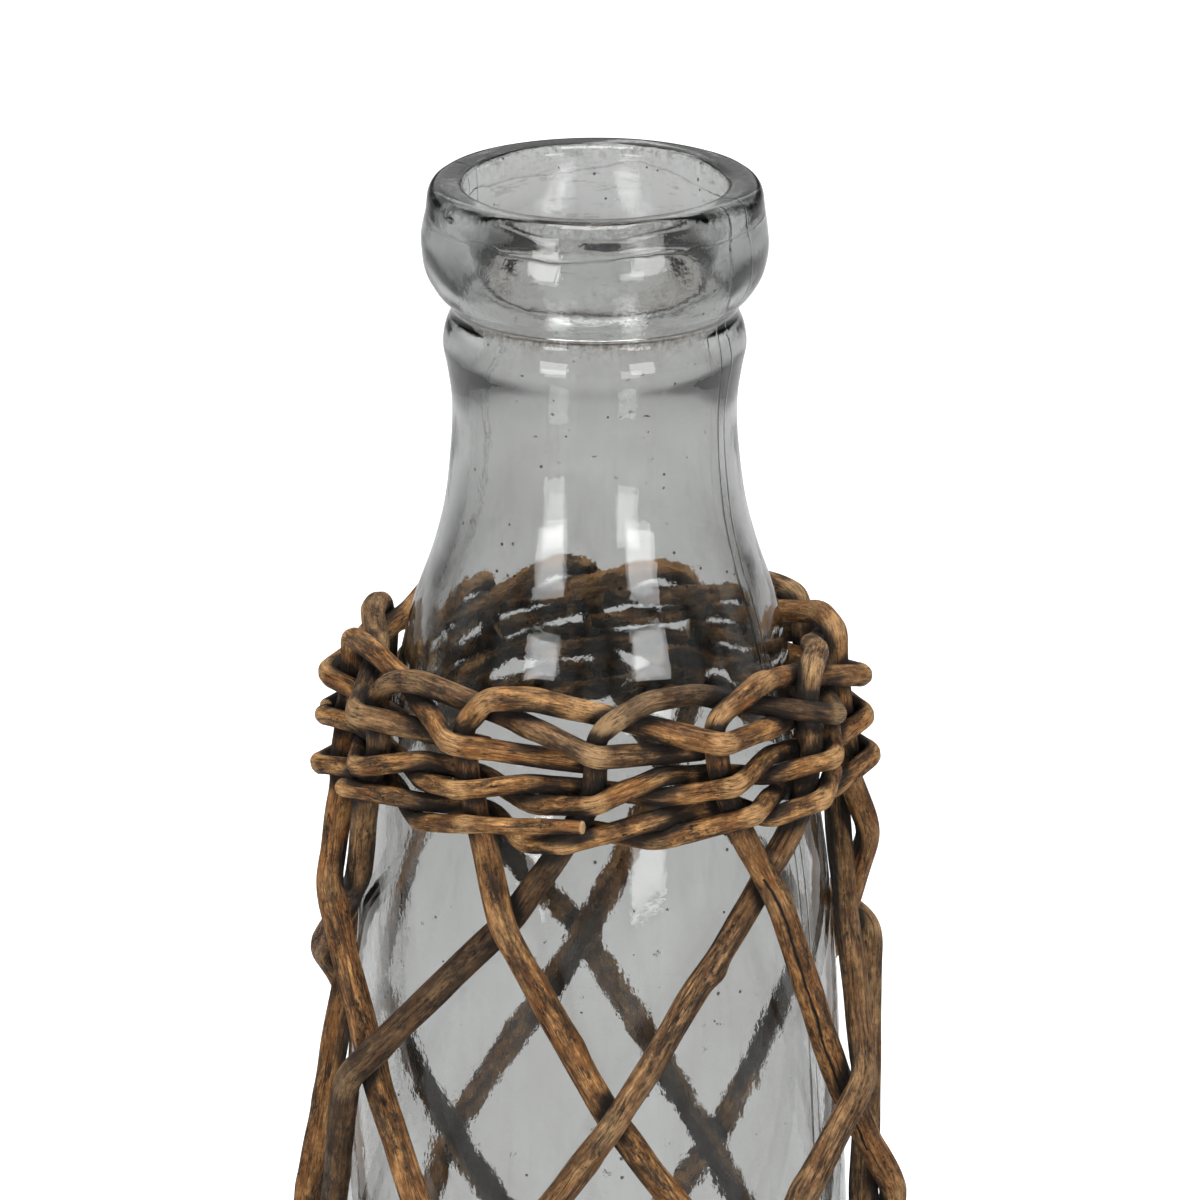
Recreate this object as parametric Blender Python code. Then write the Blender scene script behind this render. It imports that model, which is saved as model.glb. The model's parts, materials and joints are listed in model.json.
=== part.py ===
"""A clear glass bottle in an open willow cover.

Twelve upright rods cross in a slanting lattice between a twined foot and a twined collar.
Above the collar they are folded into a border, each one behind, before and behind the next three.
"""

import math

import bpy
import numpy as np

# Driving dimensions in metres. The floor is z = 0 and the bottle's axis is the z axis.
# Angles are degrees round that axis, from the front (-y) towards the right (+x).
# Depths are measured down from the top of the lip.

GAP = 0.0003  # left between pieces that touch

# Bottle
BOTTLE_HEIGHT = 0.2919
BODY_RADIUS = 0.0472
NECK_RADIUS = 0.0260
NECK_DEPTH = 0.0385
LIP_RADIUS = 0.0313
MOUTH_RADIUS = 0.0236
GROOVE_RADIUS = 0.0258
GROOVE_DEPTH = 0.0234
RING_RADIUS = 0.0274
RING_DEPTH = 0.0295
WALL = 0.0036
BASE_WALL = 0.0055
HEEL_RADIUS = 0.0070
PUNT_RISE = 0.0028
BOTTLE_SIDES = 28

# Outline of the lip, as shares of the groove's depth and of what the lip stands out over the groove.
LIP_OUTLINE_SHARES = (
    (0.00, 0.52),
    (0.05, 0.70),
    (0.22, 0.84),
    (0.50, 1.00),
    (0.68, 0.87),
    (0.84, 0.52),
)
# Outline from the neck down to the heel: how far up the bottle, and how much of the way
# from the neck's radius to the body's, both as shares.
BODY_OUTLINE_SHARES = (
    (0.819, 0.02),
    (0.793, 0.07),
    (0.767, 0.16),
    (0.730, 0.33),
    (0.685, 0.47),
    (0.627, 0.635),
    (0.566, 0.765),
    (0.499, 0.850),
    (0.440, 0.905),
    (0.340, 0.960),
    (0.190, 1.00),
)

# Upright rods: one rod each, thickest in the base and thinnest at its tip in the border.
STAKE_COUNT = 12
STAKE_BASE_RADIUS = 0.0025
STAKE_COLLAR_RADIUS = 0.0021
STAKE_TIP_RADIUS = 0.0019

# Twined rods
WEAVER_RADIUS = 0.0018
LEAN_ROOM = 0.0003  # more room beside an upright, which may lean towards the rod that passes
COLLAR_ROW_COUNT = 2
COLLAR_LOW_ROW = 0.1958
FOOT_ROW_COUNT = 2
PAIR_START = 5  # uprights from the start of one rod of a pair to that of the other
ROW_START = 4  # uprights from the start of one row to that of the next

# Lattice: heights of the four rows of crossings, from the collar down, and how far round
# each row lies from the middle between two uprights of the collar, in shares of their spacing.
CROSSING_HEIGHTS = (0.1795, 0.1435, 0.1045, 0.0655)
CROSSING_SKEW_SHARES = (-0.1, -0.4, -0.4, -0.4)
# Single crossings that stray from their row, by row and number: shares of the spacing of the
# uprights and of the row's distance to the next.
CROSSING_STRAY_SHARES = {
    (0, 0): (-0.04, 0.00),
    (0, 1): (-0.03, 0.05),
    (0, 2): (-0.20, 0.00),
    (0, 5): (0.20, -0.07),
    (1, 1): (0.02, -0.04),
    (1, 2): (-0.50, 0.38),
    (1, 4): (0.23, 0.24),
    (1, 5): (0.05, 0.03),
    (2, 1): (-0.40, 0.26),
    (2, 4): (0.17, -0.24),
}
LATTICE_ROOM = 0.0010  # between the glass and the lattice, below the second row of crossings

# Border
BORDER_ROOM = 0.0008  # between the glass and the rods at the back of the border

# Base
STICKS_EACH_WAY = STAKE_COUNT // 4  # so that each upright lies beside one end of a stick
STICK_RADIUS = 0.0018
STICK_REACH = 0.0310
BASE_WEAVER_RADIUS = 0.0016
BASE_WEAVE_START = 0.0185
BASE_EDGE = 0.0140  # from the last round of the base weave out to the uprights of the foot
STANDING_RUN = 0.0036  # straight length of each upright on the floor

# Route of an upright through the border. Each line holds how far round it is, in spacings of
# the uprights, how far out of their circle (-1 behind, 1 before), and how many rods high.
BORDER_SHARES = (
    (0.00, 0.00, 1.60),
    (0.04, -0.02, 2.05),
    (0.16, -0.10, 2.38),
    (0.45, -0.50, 2.42),
    (0.75, -0.90, 2.12),
    (1.00, -1.00, 1.72),
    (1.22, -0.80, 1.42),
    (1.50, 0.00, 1.08),
    (1.80, 0.85, 0.66),
    (2.00, 1.00, 0.18),
    (2.22, 0.80, 0.00),
    (2.50, 0.00, 0.00),
    (2.78, -0.85, 0.00),
    (3.02, -1.00, 0.00),
)

# Points along an upright's straight run on the floor. The outer two take the bends.
STANDING_SHARES = (1, 0.85, 0.15, 0)

# Colours, as linear values, with roughness and metallic
GLASS = ((0.60, 0.62, 0.62), 0.05, 0.0)
BROWN_WILLOW = ((0.26, 0.125, 0.050), 0.60, 0.0)
GREY_WILLOW = ((0.20, 0.135, 0.080), 0.70, 0.0)
WEAVER_WILLOW = ((0.30, 0.155, 0.065), 0.60, 0.0)
BASE_WILLOW = ((0.34, 0.20, 0.095), 0.65, 0.0)

# Fineness
LIP_POINTS = 15
BODY_POINTS = 11
INNER_POINTS = 7
ROD_SIDES = 6
BASE_WEAVER_SIDES = 4
BORDER_POINTS = 14
POINTS_PER_ROW = 2  # of an upright, from one row of crossings to the next
POINTS_PER_GAP = 4  # of a twined rod, from one upright to the next

FULL_TURN = 360.0
SPACING = FULL_TURN / STAKE_COUNT


def clear_scene():
    for item in list(bpy.data.objects):
        bpy.data.objects.remove(item, do_unlink=True)


def make_material(name, finish):
    colour, roughness, metallic = finish
    material = bpy.data.materials.new(name)
    material.use_nodes = True
    shader = material.node_tree.nodes["Principled BSDF"]
    shader.inputs["Base Color"].default_value = (*colour, 1.0)
    shader.inputs["Roughness"].default_value = roughness
    shader.inputs["Metallic"].default_value = metallic
    return material


def smooth_line(keys, steps=12):
    """A line through the keys, whose direction at each key is that of its two neighbours."""
    keys = np.asarray(keys, float)
    along = np.concatenate([[0], np.cumsum(np.linalg.norm(np.diff(keys, axis=0), axis=1))])
    slopes = np.gradient(keys, along, axis=0)
    pieces = []
    for i in range(len(keys) - 1):
        length = along[i + 1] - along[i]
        t = np.linspace(0, 1, steps, endpoint=False)[:, None]
        pieces.append(
            (2 * t**3 - 3 * t**2 + 1) * keys[i]
            + (t**3 - 2 * t**2 + t) * length * slopes[i]
            + (3 * t**2 - 2 * t**3) * keys[i + 1]
            + (t**3 - t**2) * length * slopes[i + 1]
        )
    return np.vstack([*pieces, keys[-1:]])


def spread(line, count):
    """Picks points of a line from end to end, closer together where it bends."""
    steps = np.diff(line, axis=0)
    lengths = np.linalg.norm(steps, axis=1)
    ways = steps / lengths[:, None]
    turns = np.arccos(np.clip((ways[1:] * ways[:-1]).sum(axis=1), -1, 1))
    bends = np.concatenate([[0], turns]) + np.concatenate([turns, [0]])
    measure = lengths / lengths.sum() + bends / max(bends.sum(), 1e-9)
    place = np.concatenate([[0], np.cumsum(measure)])
    wanted = np.linspace(0, place[-1], count)
    return np.stack([np.interp(wanted, place, column) for column in line.T], axis=1)


def around(angles, radii, heights):
    """Points from their angle round the axis, radius and height."""
    angles = np.radians(angles)
    return np.stack([radii * np.sin(angles), -radii * np.cos(angles), heights], axis=-1)


# Bottle


def outer_outline():
    """Radius and height of the glass from the top of the lip down to the standing ring."""
    top = floor_of_bottle() + BOTTLE_HEIGHT
    stand_out = LIP_RADIUS - GROOVE_RADIUS
    lip = [(GROOVE_RADIUS + r * stand_out, top - z * GROOVE_DEPTH) for z, r in LIP_OUTLINE_SHARES]
    ring_start = (GROOVE_DEPTH + RING_DEPTH) / 2
    ring_end = (RING_DEPTH + NECK_DEPTH) / 2
    ring = [
        (GROOVE_RADIUS, top - GROOVE_DEPTH),
        ((GROOVE_RADIUS + 2 * RING_RADIUS) / 3, top - ring_start),
        (RING_RADIUS, top - RING_DEPTH),
        ((NECK_RADIUS + RING_RADIUS) / 2, top - ring_end),
        (NECK_RADIUS, top - NECK_DEPTH),
    ]
    widening = BODY_RADIUS - NECK_RADIUS
    body = [
        (NECK_RADIUS + r * widening, floor_of_bottle() + z * BOTTLE_HEIGHT)
        for z, r in BODY_OUTLINE_SHARES
    ]
    heel = floor_of_bottle() + HEEL_RADIUS
    return lip, ring, [ring[-1], *body, (BODY_RADIUS, heel)]


def glass_radius(height):
    """Outer radius of the shoulder and body at a height."""
    radius, level = smooth_line(outer_outline()[2]).T
    return np.interp(height, level[::-1], radius[::-1])


def heel_arc(radius, base, rounding, corners=4):
    turn = np.linspace(0, np.pi / 2, corners)[1:]
    return np.stack(
        [radius - rounding * (1 - np.cos(turn)), base + rounding * (1 - np.sin(turn))], axis=1
    )


def make_bottle():
    base = floor_of_bottle()
    top = base + BOTTLE_HEIGHT
    lip, ring, body = outer_outline()
    rounding = WALL / 3
    ledge = (lip[0][0] - MOUTH_RADIUS) / 4
    outer = [
        np.array([(MOUTH_RADIUS + ledge, top), lip[0], lip[1]]),
        spread(smooth_line([*lip[1:], *ring]), LIP_POINTS)[1:],
        spread(smooth_line(body), BODY_POINTS)[1:],
        heel_arc(BODY_RADIUS, base, HEEL_RADIUS),
        np.array(
            [
                (BODY_RADIUS - HEEL_RADIUS - BASE_WALL, base),
                (BODY_RADIUS - HEEL_RADIUS - 2 * BASE_WALL, base + PUNT_RISE / 2),
                (0, base + PUNT_RISE),
            ]
        ),
    ]
    bore = NECK_RADIUS - WALL
    inner_body = np.array(body) - (WALL, 0)
    inner = [
        np.array(
            [
                (MOUTH_RADIUS, top - rounding),
                (MOUTH_RADIUS, top - GROOVE_DEPTH / 2),
                (bore, top - GROOVE_DEPTH),
            ]
        ),
        spread(smooth_line(inner_body), INNER_POINTS),
        heel_arc(BODY_RADIUS - WALL, base + BASE_WALL, HEEL_RADIUS, corners=3),
        np.array([(0, base + BASE_WALL + PUNT_RISE)]),
    ]
    # The screw wants the outer side to run down, so the line starts on the inside.
    profile = np.vstack([np.vstack(inner)[::-1], np.vstack(outer)])
    mesh = bpy.data.meshes.new("bottle")
    corners = [(radius, 0, height) for radius, height in profile]
    mesh.from_pydata(corners, [(i, i + 1) for i in range(len(corners) - 1)], [])
    bottle = bpy.data.objects.new("bottle", mesh)
    bpy.context.collection.objects.link(bottle)
    mesh.materials.append(make_material("clear_glass", GLASS))
    screw = bottle.modifiers.new("turned", "SCREW")
    screw.steps = BOTTLE_SIDES
    screw.render_steps = BOTTLE_SIDES
    screw.use_merge_vertices = True
    screw.merge_threshold = WALL / 100
    screw.use_smooth_shade = True


# Willow rods


def turned(points, angle):
    """Points turned round the axis, towards the right at the front."""
    sine, cosine = math.sin(math.radians(angle)), math.cos(math.radians(angle))
    return points @ np.array([(cosine, sine, 0), (-sine, cosine, 0), (0, 0, 1)])


def make_rod(name, points, radii, finish, turn=0.0, sides=ROD_SIDES):
    """A rod along points, with its radius at each point."""
    curve = bpy.data.curves.new(name, "CURVE")
    curve.dimensions = "3D"
    curve.bevel_depth = radii[0]
    curve.bevel_resolution = sides // 2 - 2
    curve.use_fill_caps = True
    spline = curve.splines.new("POLY")
    spline.points.add(len(points) - 1)
    spline.points.foreach_set("co", np.insert(points, 3, 1, axis=1).ravel())
    spline.points.foreach_set("radius", np.asarray(radii) / radii[0])
    curve.materials.append(make_material(name + "_willow", finish))
    rod = bpy.data.objects.new(name, curve)
    rod.rotation_euler.z = math.radians(turn)
    bpy.context.collection.objects.link(rod)


def rod_swing(weaver_radius):
    """How far each rod of a pair leaves the middle of its row, so that the two pass."""
    return weaver_radius + GAP / 2


def row_pitch(weaver_radius):
    """Distance between twined rows, each of which is two rods high where its rods pass."""
    return 4 * rod_swing(weaver_radius)


def passing_offset(first_radius, second_radius):
    """Distance between the middles of two rods that pass each other."""
    return first_radius + second_radius + GAP


def base_level():
    """Middle of the base weave, which clears the floor."""
    return passing_offset(STAKE_BASE_RADIUS, BASE_WEAVER_RADIUS) + BASE_WEAVER_RADIUS + 2 * GAP


def floor_of_bottle():
    """Height at which the bottle stands, on the top of the base weave."""
    weave = passing_offset(STAKE_BASE_RADIUS, BASE_WEAVER_RADIUS) + BASE_WEAVER_RADIUS
    return base_level() + weave + GAP


def collar_row(row):
    return COLLAR_LOW_ROW + row * row_pitch(WEAVER_RADIUS)


def collar_bottom():
    return collar_row(0) - 2 * WEAVER_RADIUS


def border_level():
    """Height at which the rods' tips lie on the collar's upper row."""
    row_top = collar_row(COLLAR_ROW_COUNT - 1) + rod_swing(WEAVER_RADIUS)
    return row_top + passing_offset(WEAVER_RADIUS, STAKE_COLLAR_RADIUS)


def foot_row(row):
    """The lowest row lies on the uprights' runs below it."""
    lowest = 2 * STAKE_BASE_RADIUS + WEAVER_RADIUS + GAP
    return lowest + row * row_pitch(WEAVER_RADIUS)


def foot_top():
    return foot_row(FOOT_ROW_COUNT - 1) + 2 * WEAVER_RADIUS


def twining_offset(upright_radius):
    """Distance between the middles of a twined rod and of an upright that it passes."""
    return passing_offset(upright_radius, WEAVER_RADIUS) + LEAN_ROOM


def collar_radius():
    """The circle of the uprights in the collar, where the rods behind them clear the glass."""
    glass = glass_radius(collar_row(0) - WEAVER_RADIUS / 2)
    return glass + GAP + WEAVER_RADIUS + twining_offset(STAKE_COLLAR_RADIUS)


def border_radius():
    """The circle that the border follows, with one rod's stroke behind it."""
    behind = passing_offset(STAKE_COLLAR_RADIUS, STAKE_COLLAR_RADIUS)
    return glass_radius(border_level()) + BORDER_ROOM + STAKE_COLLAR_RADIUS + behind


def foot_radius():
    return BODY_RADIUS + GAP + WEAVER_RADIUS + twining_offset(STAKE_BASE_RADIUS)


def base_weave_end():
    return foot_radius() - BASE_EDGE


# Lattice of the uprights


def crossing(row, number):
    """Angle and height of one crossing of the lattice."""
    angle_stray, height_stray = CROSSING_STRAY_SHARES.get((row, number % (STAKE_COUNT // 2)), (0, 0))
    row_step = CROSSING_HEIGHTS[0] - CROSSING_HEIGHTS[1]
    angle = SPACING * (2 * number + row - 0.5 + CROSSING_SKEW_SHARES[row] + angle_stray)
    return angle, CROSSING_HEIGHTS[row] + height_stray * row_step


def hand(index):
    """1 for an upright that leans to the right as it goes down, and -1 for one that leans left."""
    return 1 if index % 2 else -1


def lattice_line(index):
    """Angle and height of an upright from the collar down to the foot, and its crossings' heights."""
    keys = [(index * SPACING, collar_row(COLLAR_ROW_COUNT - 1))]
    for row in range(len(CROSSING_HEIGHTS)):
        number = (index + 1) // 2 if hand(index) > 0 else index // 2 - row
        keys.append(crossing(row, number))
    keys.append((keys[-1][0] + hand(index) * SPACING / 2, foot_top()))
    keys = np.array(keys)
    levels = keys[1:-1, 1]
    arc = math.radians(1) * BODY_RADIUS
    line = smooth_line(keys * (arc, 1)) / (arc, 1)
    return line, levels


def stake_angle(index, height):
    line, _ = lattice_line(index)
    return np.interp(height, line[::-1, 1], line[::-1, 0])


def stakes_around(height):
    """Angles of all uprights at a height, in order, with the one at the front first."""
    angles = np.array([stake_angle(index, height) for index in range(STAKE_COUNT)])
    return np.sort((angles + SPACING / 2) % FULL_TURN) - SPACING / 2


def circle_radius(heights):
    """The circle of the uprights: two layers on the glass, wider at the foot and the collar,
    and drawn in from there to the border."""
    room = np.interp(heights, CROSSING_HEIGHTS[1::-1], [LATTICE_ROOM, 0])
    layers = glass_radius(heights) + room + 1.5 * GAP + 2 * STAKE_BASE_RADIUS
    down = np.interp(heights, [foot_top(), CROSSING_HEIGHTS[-1]], [1, 0])
    up = np.interp(heights, [CROSSING_HEIGHTS[0], collar_bottom()], [0, 1])
    drawn_in = collar_radius() - border_radius()
    drawn = np.interp(heights, [collar_row(0), border_level()], [0, drawn_in])
    return layers + down * (foot_radius() - layers) + up * (collar_radius() - layers) - drawn


def lattice_route(index):
    """An upright from the collar down to the foot, over and under the ones that it crosses."""
    line, levels = lattice_line(index)
    places = [foot_top(), *levels[::-1], collar_bottom()]
    rows = [len(levels) - 0.5, *range(len(levels) - 1, -1, -1), -0.5]
    along = np.linspace(rows[-1], rows[0], POINTS_PER_ROW * len(CROSSING_HEIGHTS) + 1)
    heights = np.interp(along, rows[::-1], places[::-1])
    angles = np.interp(heights, line[::-1, 1], line[::-1, 0])
    layer = hand(index) * (STAKE_BASE_RADIUS + GAP / 2)
    radii = circle_radius(heights) + layer * np.cos(np.pi * along)
    return around(angles, radii, heights)


def collar_route(index):
    """An upright from the collar's lowest row to the border."""
    heights = np.array([*(collar_row(row) for row in range(COLLAR_ROW_COUNT)), border_level()])
    return around(stake_angle(index, heights), circle_radius(heights), heights)


# Border


def border_route(index):
    """An upright from the collar's upper row through its three strokes of the border."""
    turn, out, high = np.array(BORDER_SHARES).T
    offset = passing_offset(STAKE_COLLAR_RADIUS, STAKE_COLLAR_RADIUS)
    step = passing_offset(STAKE_COLLAR_RADIUS, STAKE_TIP_RADIUS)
    heights = border_level() + high * step
    return around((index + turn) * SPACING, circle_radius(heights) + out * offset, heights)


# Foot


def standing_height():
    """Middle of a rod with flat sides that lies on one of them."""
    return STAKE_BASE_RADIUS * math.cos(math.pi / ROD_SIDES)


def foot_route(index):
    """An upright from its thick end in the base weave, down to the floor and up the foot."""
    bend = 1.5 * STAKE_BASE_RADIUS
    level = base_level()
    stand = standing_height()
    rise = foot_radius() - bend
    weave_edge = base_weave_end() + 2 * BASE_WEAVER_RADIUS
    turn = np.radians((30, 60))
    corner = zip(rise + bend * np.sin(turn), stand + bend * (1 - np.cos(turn)))
    radii, heights = np.array(
        [
            (STICK_REACH + GAP, level),
            (weave_edge - STAKE_BASE_RADIUS, level),
            (weave_edge, level - GAP),
            (rise - STANDING_RUN - STAKE_BASE_RADIUS / 2, stand + STAKE_BASE_RADIUS / 2),
            *((rise - share * STANDING_RUN, stand) for share in STANDING_SHARES),
            *corner,
            (foot_radius(), stand + bend),
        ]
    ).T
    return around(stake_angle(index, foot_top()), radii, heights)


def make_stake(index):
    border = spread(smooth_line(border_route(index)), BORDER_POINTS)
    lattice = lattice_route(index)
    foot = foot_route(index)
    points = np.vstack([foot, lattice[::-1], collar_route(index), border])
    along = np.concatenate([[0], np.cumsum(np.linalg.norm(np.diff(points, axis=0), axis=1))])
    places = [0, along[len(foot)], along[len(foot) + len(lattice) - 1], along[-1]]
    sizes = [STAKE_BASE_RADIUS, STAKE_BASE_RADIUS, STAKE_COLLAR_RADIUS, STAKE_TIP_RADIUS]
    angle = stake_angle(index, foot_top())
    finish = BROWN_WILLOW if hand(index) > 0 else GREY_WILLOW
    name = f"stake_{index + 1:02d}"
    make_rod(name, turned(points, -angle), np.interp(along, places, sizes), finish, angle)


# Twining


def ring_route(height, upright_radius, start):
    """A rod twined once round the uprights, from behind one until it is cut short before it."""
    circle = circle_radius(height)
    gaps = np.arange(0, POINTS_PER_GAP * STAKE_COUNT + 1) / POINTS_PER_GAP
    offset = twining_offset(upright_radius)
    swing = rod_swing(WEAVER_RADIUS)
    uprights = np.arange(STAKE_COUNT + 1) + start
    turns = uprights // STAKE_COUNT * FULL_TURN
    wrapped = stakes_around(height)[uprights % STAKE_COUNT] + turns
    angles = np.interp(gaps, np.arange(STAKE_COUNT + 1), wrapped)
    phase = np.pi * (1 + np.minimum(gaps, STAKE_COUNT - 0.5))
    cut = math.degrees(offset / circle)
    angles[-1] -= cut
    keep = angles <= angles[-1]
    radii = circle + offset * np.cos(phase)
    heights = height + swing * np.sin(phase)
    return around(angles, radii, heights)[keep]


def make_twined_rows(name, rows, row_height, upright_radius):
    """Two rods to each row."""
    for number in range(2 * rows):
        row, second = divmod(number, 2)
        start = ROW_START * row + PAIR_START * second
        points = ring_route(row_height(row), upright_radius, start)
        sizes = np.full(len(points), WEAVER_RADIUS)
        make_rod(f"{name}_{number + 1}", points, sizes, WEAVER_WILLOW)


# Base


def stick_route(side):
    """One of the sticks side by side, of which the outer ones are bent to spread their ends.
    The third coordinate is how far it is lifted off the sticks that it crosses, as a share."""
    step = 2 * STICK_RADIUS + GAP
    angle = math.radians(side * SPACING)
    bend = step / math.tan(math.radians(SPACING))
    way = np.array((math.cos(angle), math.sin(angle), 0))
    half = np.array(
        [(0, side * step, 1), (bend, side * step, 1), 2 * bend * way, STICK_REACH * way]
    )
    other_half = half * (-1, 1, 1)
    return np.vstack([other_half[:0:-1], half])


def make_base_sticks(turn):
    lift = STICK_RADIUS + GAP / 2
    for number in range(2 * STICKS_EACH_WAY):
        across, side = divmod(number, STICKS_EACH_WAY)
        points = stick_route(side - (STICKS_EACH_WAY - 1) / 2)
        points[:, 2] = base_level() + points[:, 2] * (lift if across else -lift)
        sizes = np.full(len(points), STICK_RADIUS)
        make_rod(f"base_stick_{number + 1}", points, sizes, BASE_WILLOW, turn + 90 * across)


def make_base_weavers(turn):
    """Two rods twined round the sticks, and then round the uprights, in a flat coil."""
    pitch = row_pitch(BASE_WEAVER_RADIUS)
    rounds = (base_weave_end() - BASE_WEAVE_START) / pitch
    gaps = np.arange(0, rounds * STAKE_COUNT, 1 / POINTS_PER_GAP)
    middle = BASE_WEAVE_START + gaps / STAKE_COUNT * pitch
    on_sticks = passing_offset(STICK_RADIUS, BASE_WEAVER_RADIUS) + 2 * GAP
    on_stakes = passing_offset(STAKE_BASE_RADIUS, BASE_WEAVER_RADIUS)
    joint = [STICK_REACH - 2 * STAKE_BASE_RADIUS, STICK_REACH]
    offset = np.interp(middle, joint, [on_sticks, on_stakes])
    for number in range(2):
        phase = np.pi * (gaps + number)
        radii = middle + rod_swing(BASE_WEAVER_RADIUS) * np.sin(phase)
        heights = base_level() + offset * np.cos(phase)
        points = around(turn + gaps * SPACING, radii, heights)
        sizes = np.full(len(points), BASE_WEAVER_RADIUS)
        make_rod(f"base_weaver_{number + 1}", points, sizes, BASE_WILLOW, sides=BASE_WEAVER_SIDES)


def main():
    clear_scene()
    make_bottle()
    for index in range(STAKE_COUNT):
        make_stake(index)
    make_twined_rows("collar_weaver", COLLAR_ROW_COUNT, collar_row, STAKE_COLLAR_RADIUS)
    make_twined_rows("foot_weaver", FOOT_ROW_COUNT, foot_row, STAKE_BASE_RADIUS)
    base_turn = stake_angle(0, foot_top())
    make_base_sticks(base_turn)
    make_base_weavers(base_turn)


main()
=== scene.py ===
import json
import math

import bpy
import numpy as np
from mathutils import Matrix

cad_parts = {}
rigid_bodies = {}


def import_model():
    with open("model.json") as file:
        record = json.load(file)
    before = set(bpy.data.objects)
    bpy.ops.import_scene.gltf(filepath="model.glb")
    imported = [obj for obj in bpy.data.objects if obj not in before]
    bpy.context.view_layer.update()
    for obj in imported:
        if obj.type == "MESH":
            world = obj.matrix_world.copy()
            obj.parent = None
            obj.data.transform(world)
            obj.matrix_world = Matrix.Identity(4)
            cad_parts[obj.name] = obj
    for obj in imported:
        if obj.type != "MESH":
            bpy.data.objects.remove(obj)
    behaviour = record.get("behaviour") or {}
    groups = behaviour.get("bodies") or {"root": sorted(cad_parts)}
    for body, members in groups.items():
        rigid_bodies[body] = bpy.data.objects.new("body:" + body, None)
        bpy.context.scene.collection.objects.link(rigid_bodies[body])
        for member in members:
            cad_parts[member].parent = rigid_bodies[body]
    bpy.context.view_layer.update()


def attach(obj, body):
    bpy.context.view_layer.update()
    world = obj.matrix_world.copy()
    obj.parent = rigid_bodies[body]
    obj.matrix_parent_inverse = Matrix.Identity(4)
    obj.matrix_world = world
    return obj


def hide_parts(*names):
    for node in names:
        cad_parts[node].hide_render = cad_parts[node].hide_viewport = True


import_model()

# Glass bottle in an open willow cover. Metres throughout; the floor is z = 0 and the
# bottle's axis is the z axis. Angles are degrees from the front (-y) towards the right (+x).

gap = 0.0003  # between pieces that touch
stakeCount = 12
fullTurn = 360.0
spacing = fullTurn / stakeCount


# Lines and surfaces

def lengthsAlong(line):
    # how far along the line each of its points is
    return np.concatenate([[0], np.cumsum(np.linalg.norm(np.diff(line, axis=0), axis=1))])


def columnsAt(wanted, along, line):
    # the points of a line at the wanted lengths along it
    return np.stack([np.interp(wanted, along, column) for column in line.T], axis=1)


def smoothLine(keys, steps=12):
    # between two keys a cubic, which passes each key in the direction of its two neighbours
    keys = np.asarray(keys, float)
    along = lengthsAlong(keys)
    slopes = np.gradient(keys, along, axis=0)
    t = np.linspace(0, 1, steps, endpoint=False)[None, :, None]
    run = np.diff(along)[:, None, None]
    line = ((2 * t**3 - 3 * t**2 + 1) * keys[:-1, None] + (t**3 - 2 * t**2 + t) * run * slopes[:-1, None]
            + (3 * t**2 - 2 * t**3) * keys[1:, None] + (t**3 - t**2) * run * slopes[1:, None])
    return np.vstack([line.reshape(-1, keys.shape[1]), keys[-1:]])


def bentLine(keys, rounding, steps=9, most=0.48):
    # straight runs between the keys, with a short quadratic bend in place of each inner key: one
    # length for all of them, or one for each, and at the most this share of a run
    keys = np.asarray(keys, float)
    run = np.linalg.norm(np.diff(keys, axis=0), axis=1)
    corner = keys[1:-1]
    before = np.minimum(rounding, most * run[:-1])[:, None]
    after = np.minimum(rounding, most * run[1:])[:, None]
    start = corner + (keys[:-2] - corner) / run[:-1, None] * before
    end = corner + (keys[2:] - corner) / run[1:, None] * after
    t = np.linspace(0, 1, steps)[None, :, None]
    bends = (1 - t)**2 * start[:, None] + 2 * t * (1 - t) * corner[:, None] + t**2 * end[:, None]
    return np.vstack([keys[:1], bends.reshape(-1, keys.shape[1]), keys[-1:]])


def evenly(line, step):
    # the same line with its points one step apart
    along = lengthsAlong(line)
    return columnsAt(np.linspace(0, along[-1], max(int(along[-1] / step), 4) + 1), along, line)


def around(angles, radii, heights):
    # points from their angle round the axis, distance from it and height
    angles = np.radians(angles)
    return np.stack([radii * np.sin(angles), -radii * np.cos(angles), heights + 0 * angles], axis=-1)


def unit(vectors):
    # each vector divided by its own length
    return vectors / np.maximum(np.linalg.norm(vectors, axis=-1, keepdims=True), 1e-12)


def steadyFrames(line):
    # Two directions across the line at each point, which turn round it as little as they can:
    # any direction across it is taken first, and the turn from each point to the next is summed
    # and taken off again.
    ways = unit(np.gradient(line, axis=0))
    pick = np.eye(3)[np.argmin(np.abs(ways), axis=1)]
    first = unit(np.cross(ways, pick))
    second = np.cross(ways, first)
    turn = np.arctan2((first[:-1] * second[1:]).sum(axis=1), (first[:-1] * first[1:]).sum(axis=1))
    turn = np.concatenate([[0], np.cumsum(turn)])[:, None]
    across = unit(np.cos(turn) * first + np.sin(turn) * second)
    return ways, across, np.cross(ways, across)


def closedFaces(rows, sides):
    # quads between neighbouring rings, each closed on itself, and a fan at each end to a middle
    # point; the two middle points come after all the rings
    start = np.arange(rows - 1)[:, None] * sides
    side = np.arange(sides)
    follow = (side + 1) % sides
    quads = np.stack([start + side, start + follow, start + sides + follow, start + sides + side],
                     axis=-1).reshape(-1, 4)
    middle = np.full(sides, rows * sides)
    last = (rows - 1) * sides
    return quads, np.vstack([np.stack([middle, follow, side], axis=1),
                             np.stack([middle + 1, last + side, last + follow], axis=1)])


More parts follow.
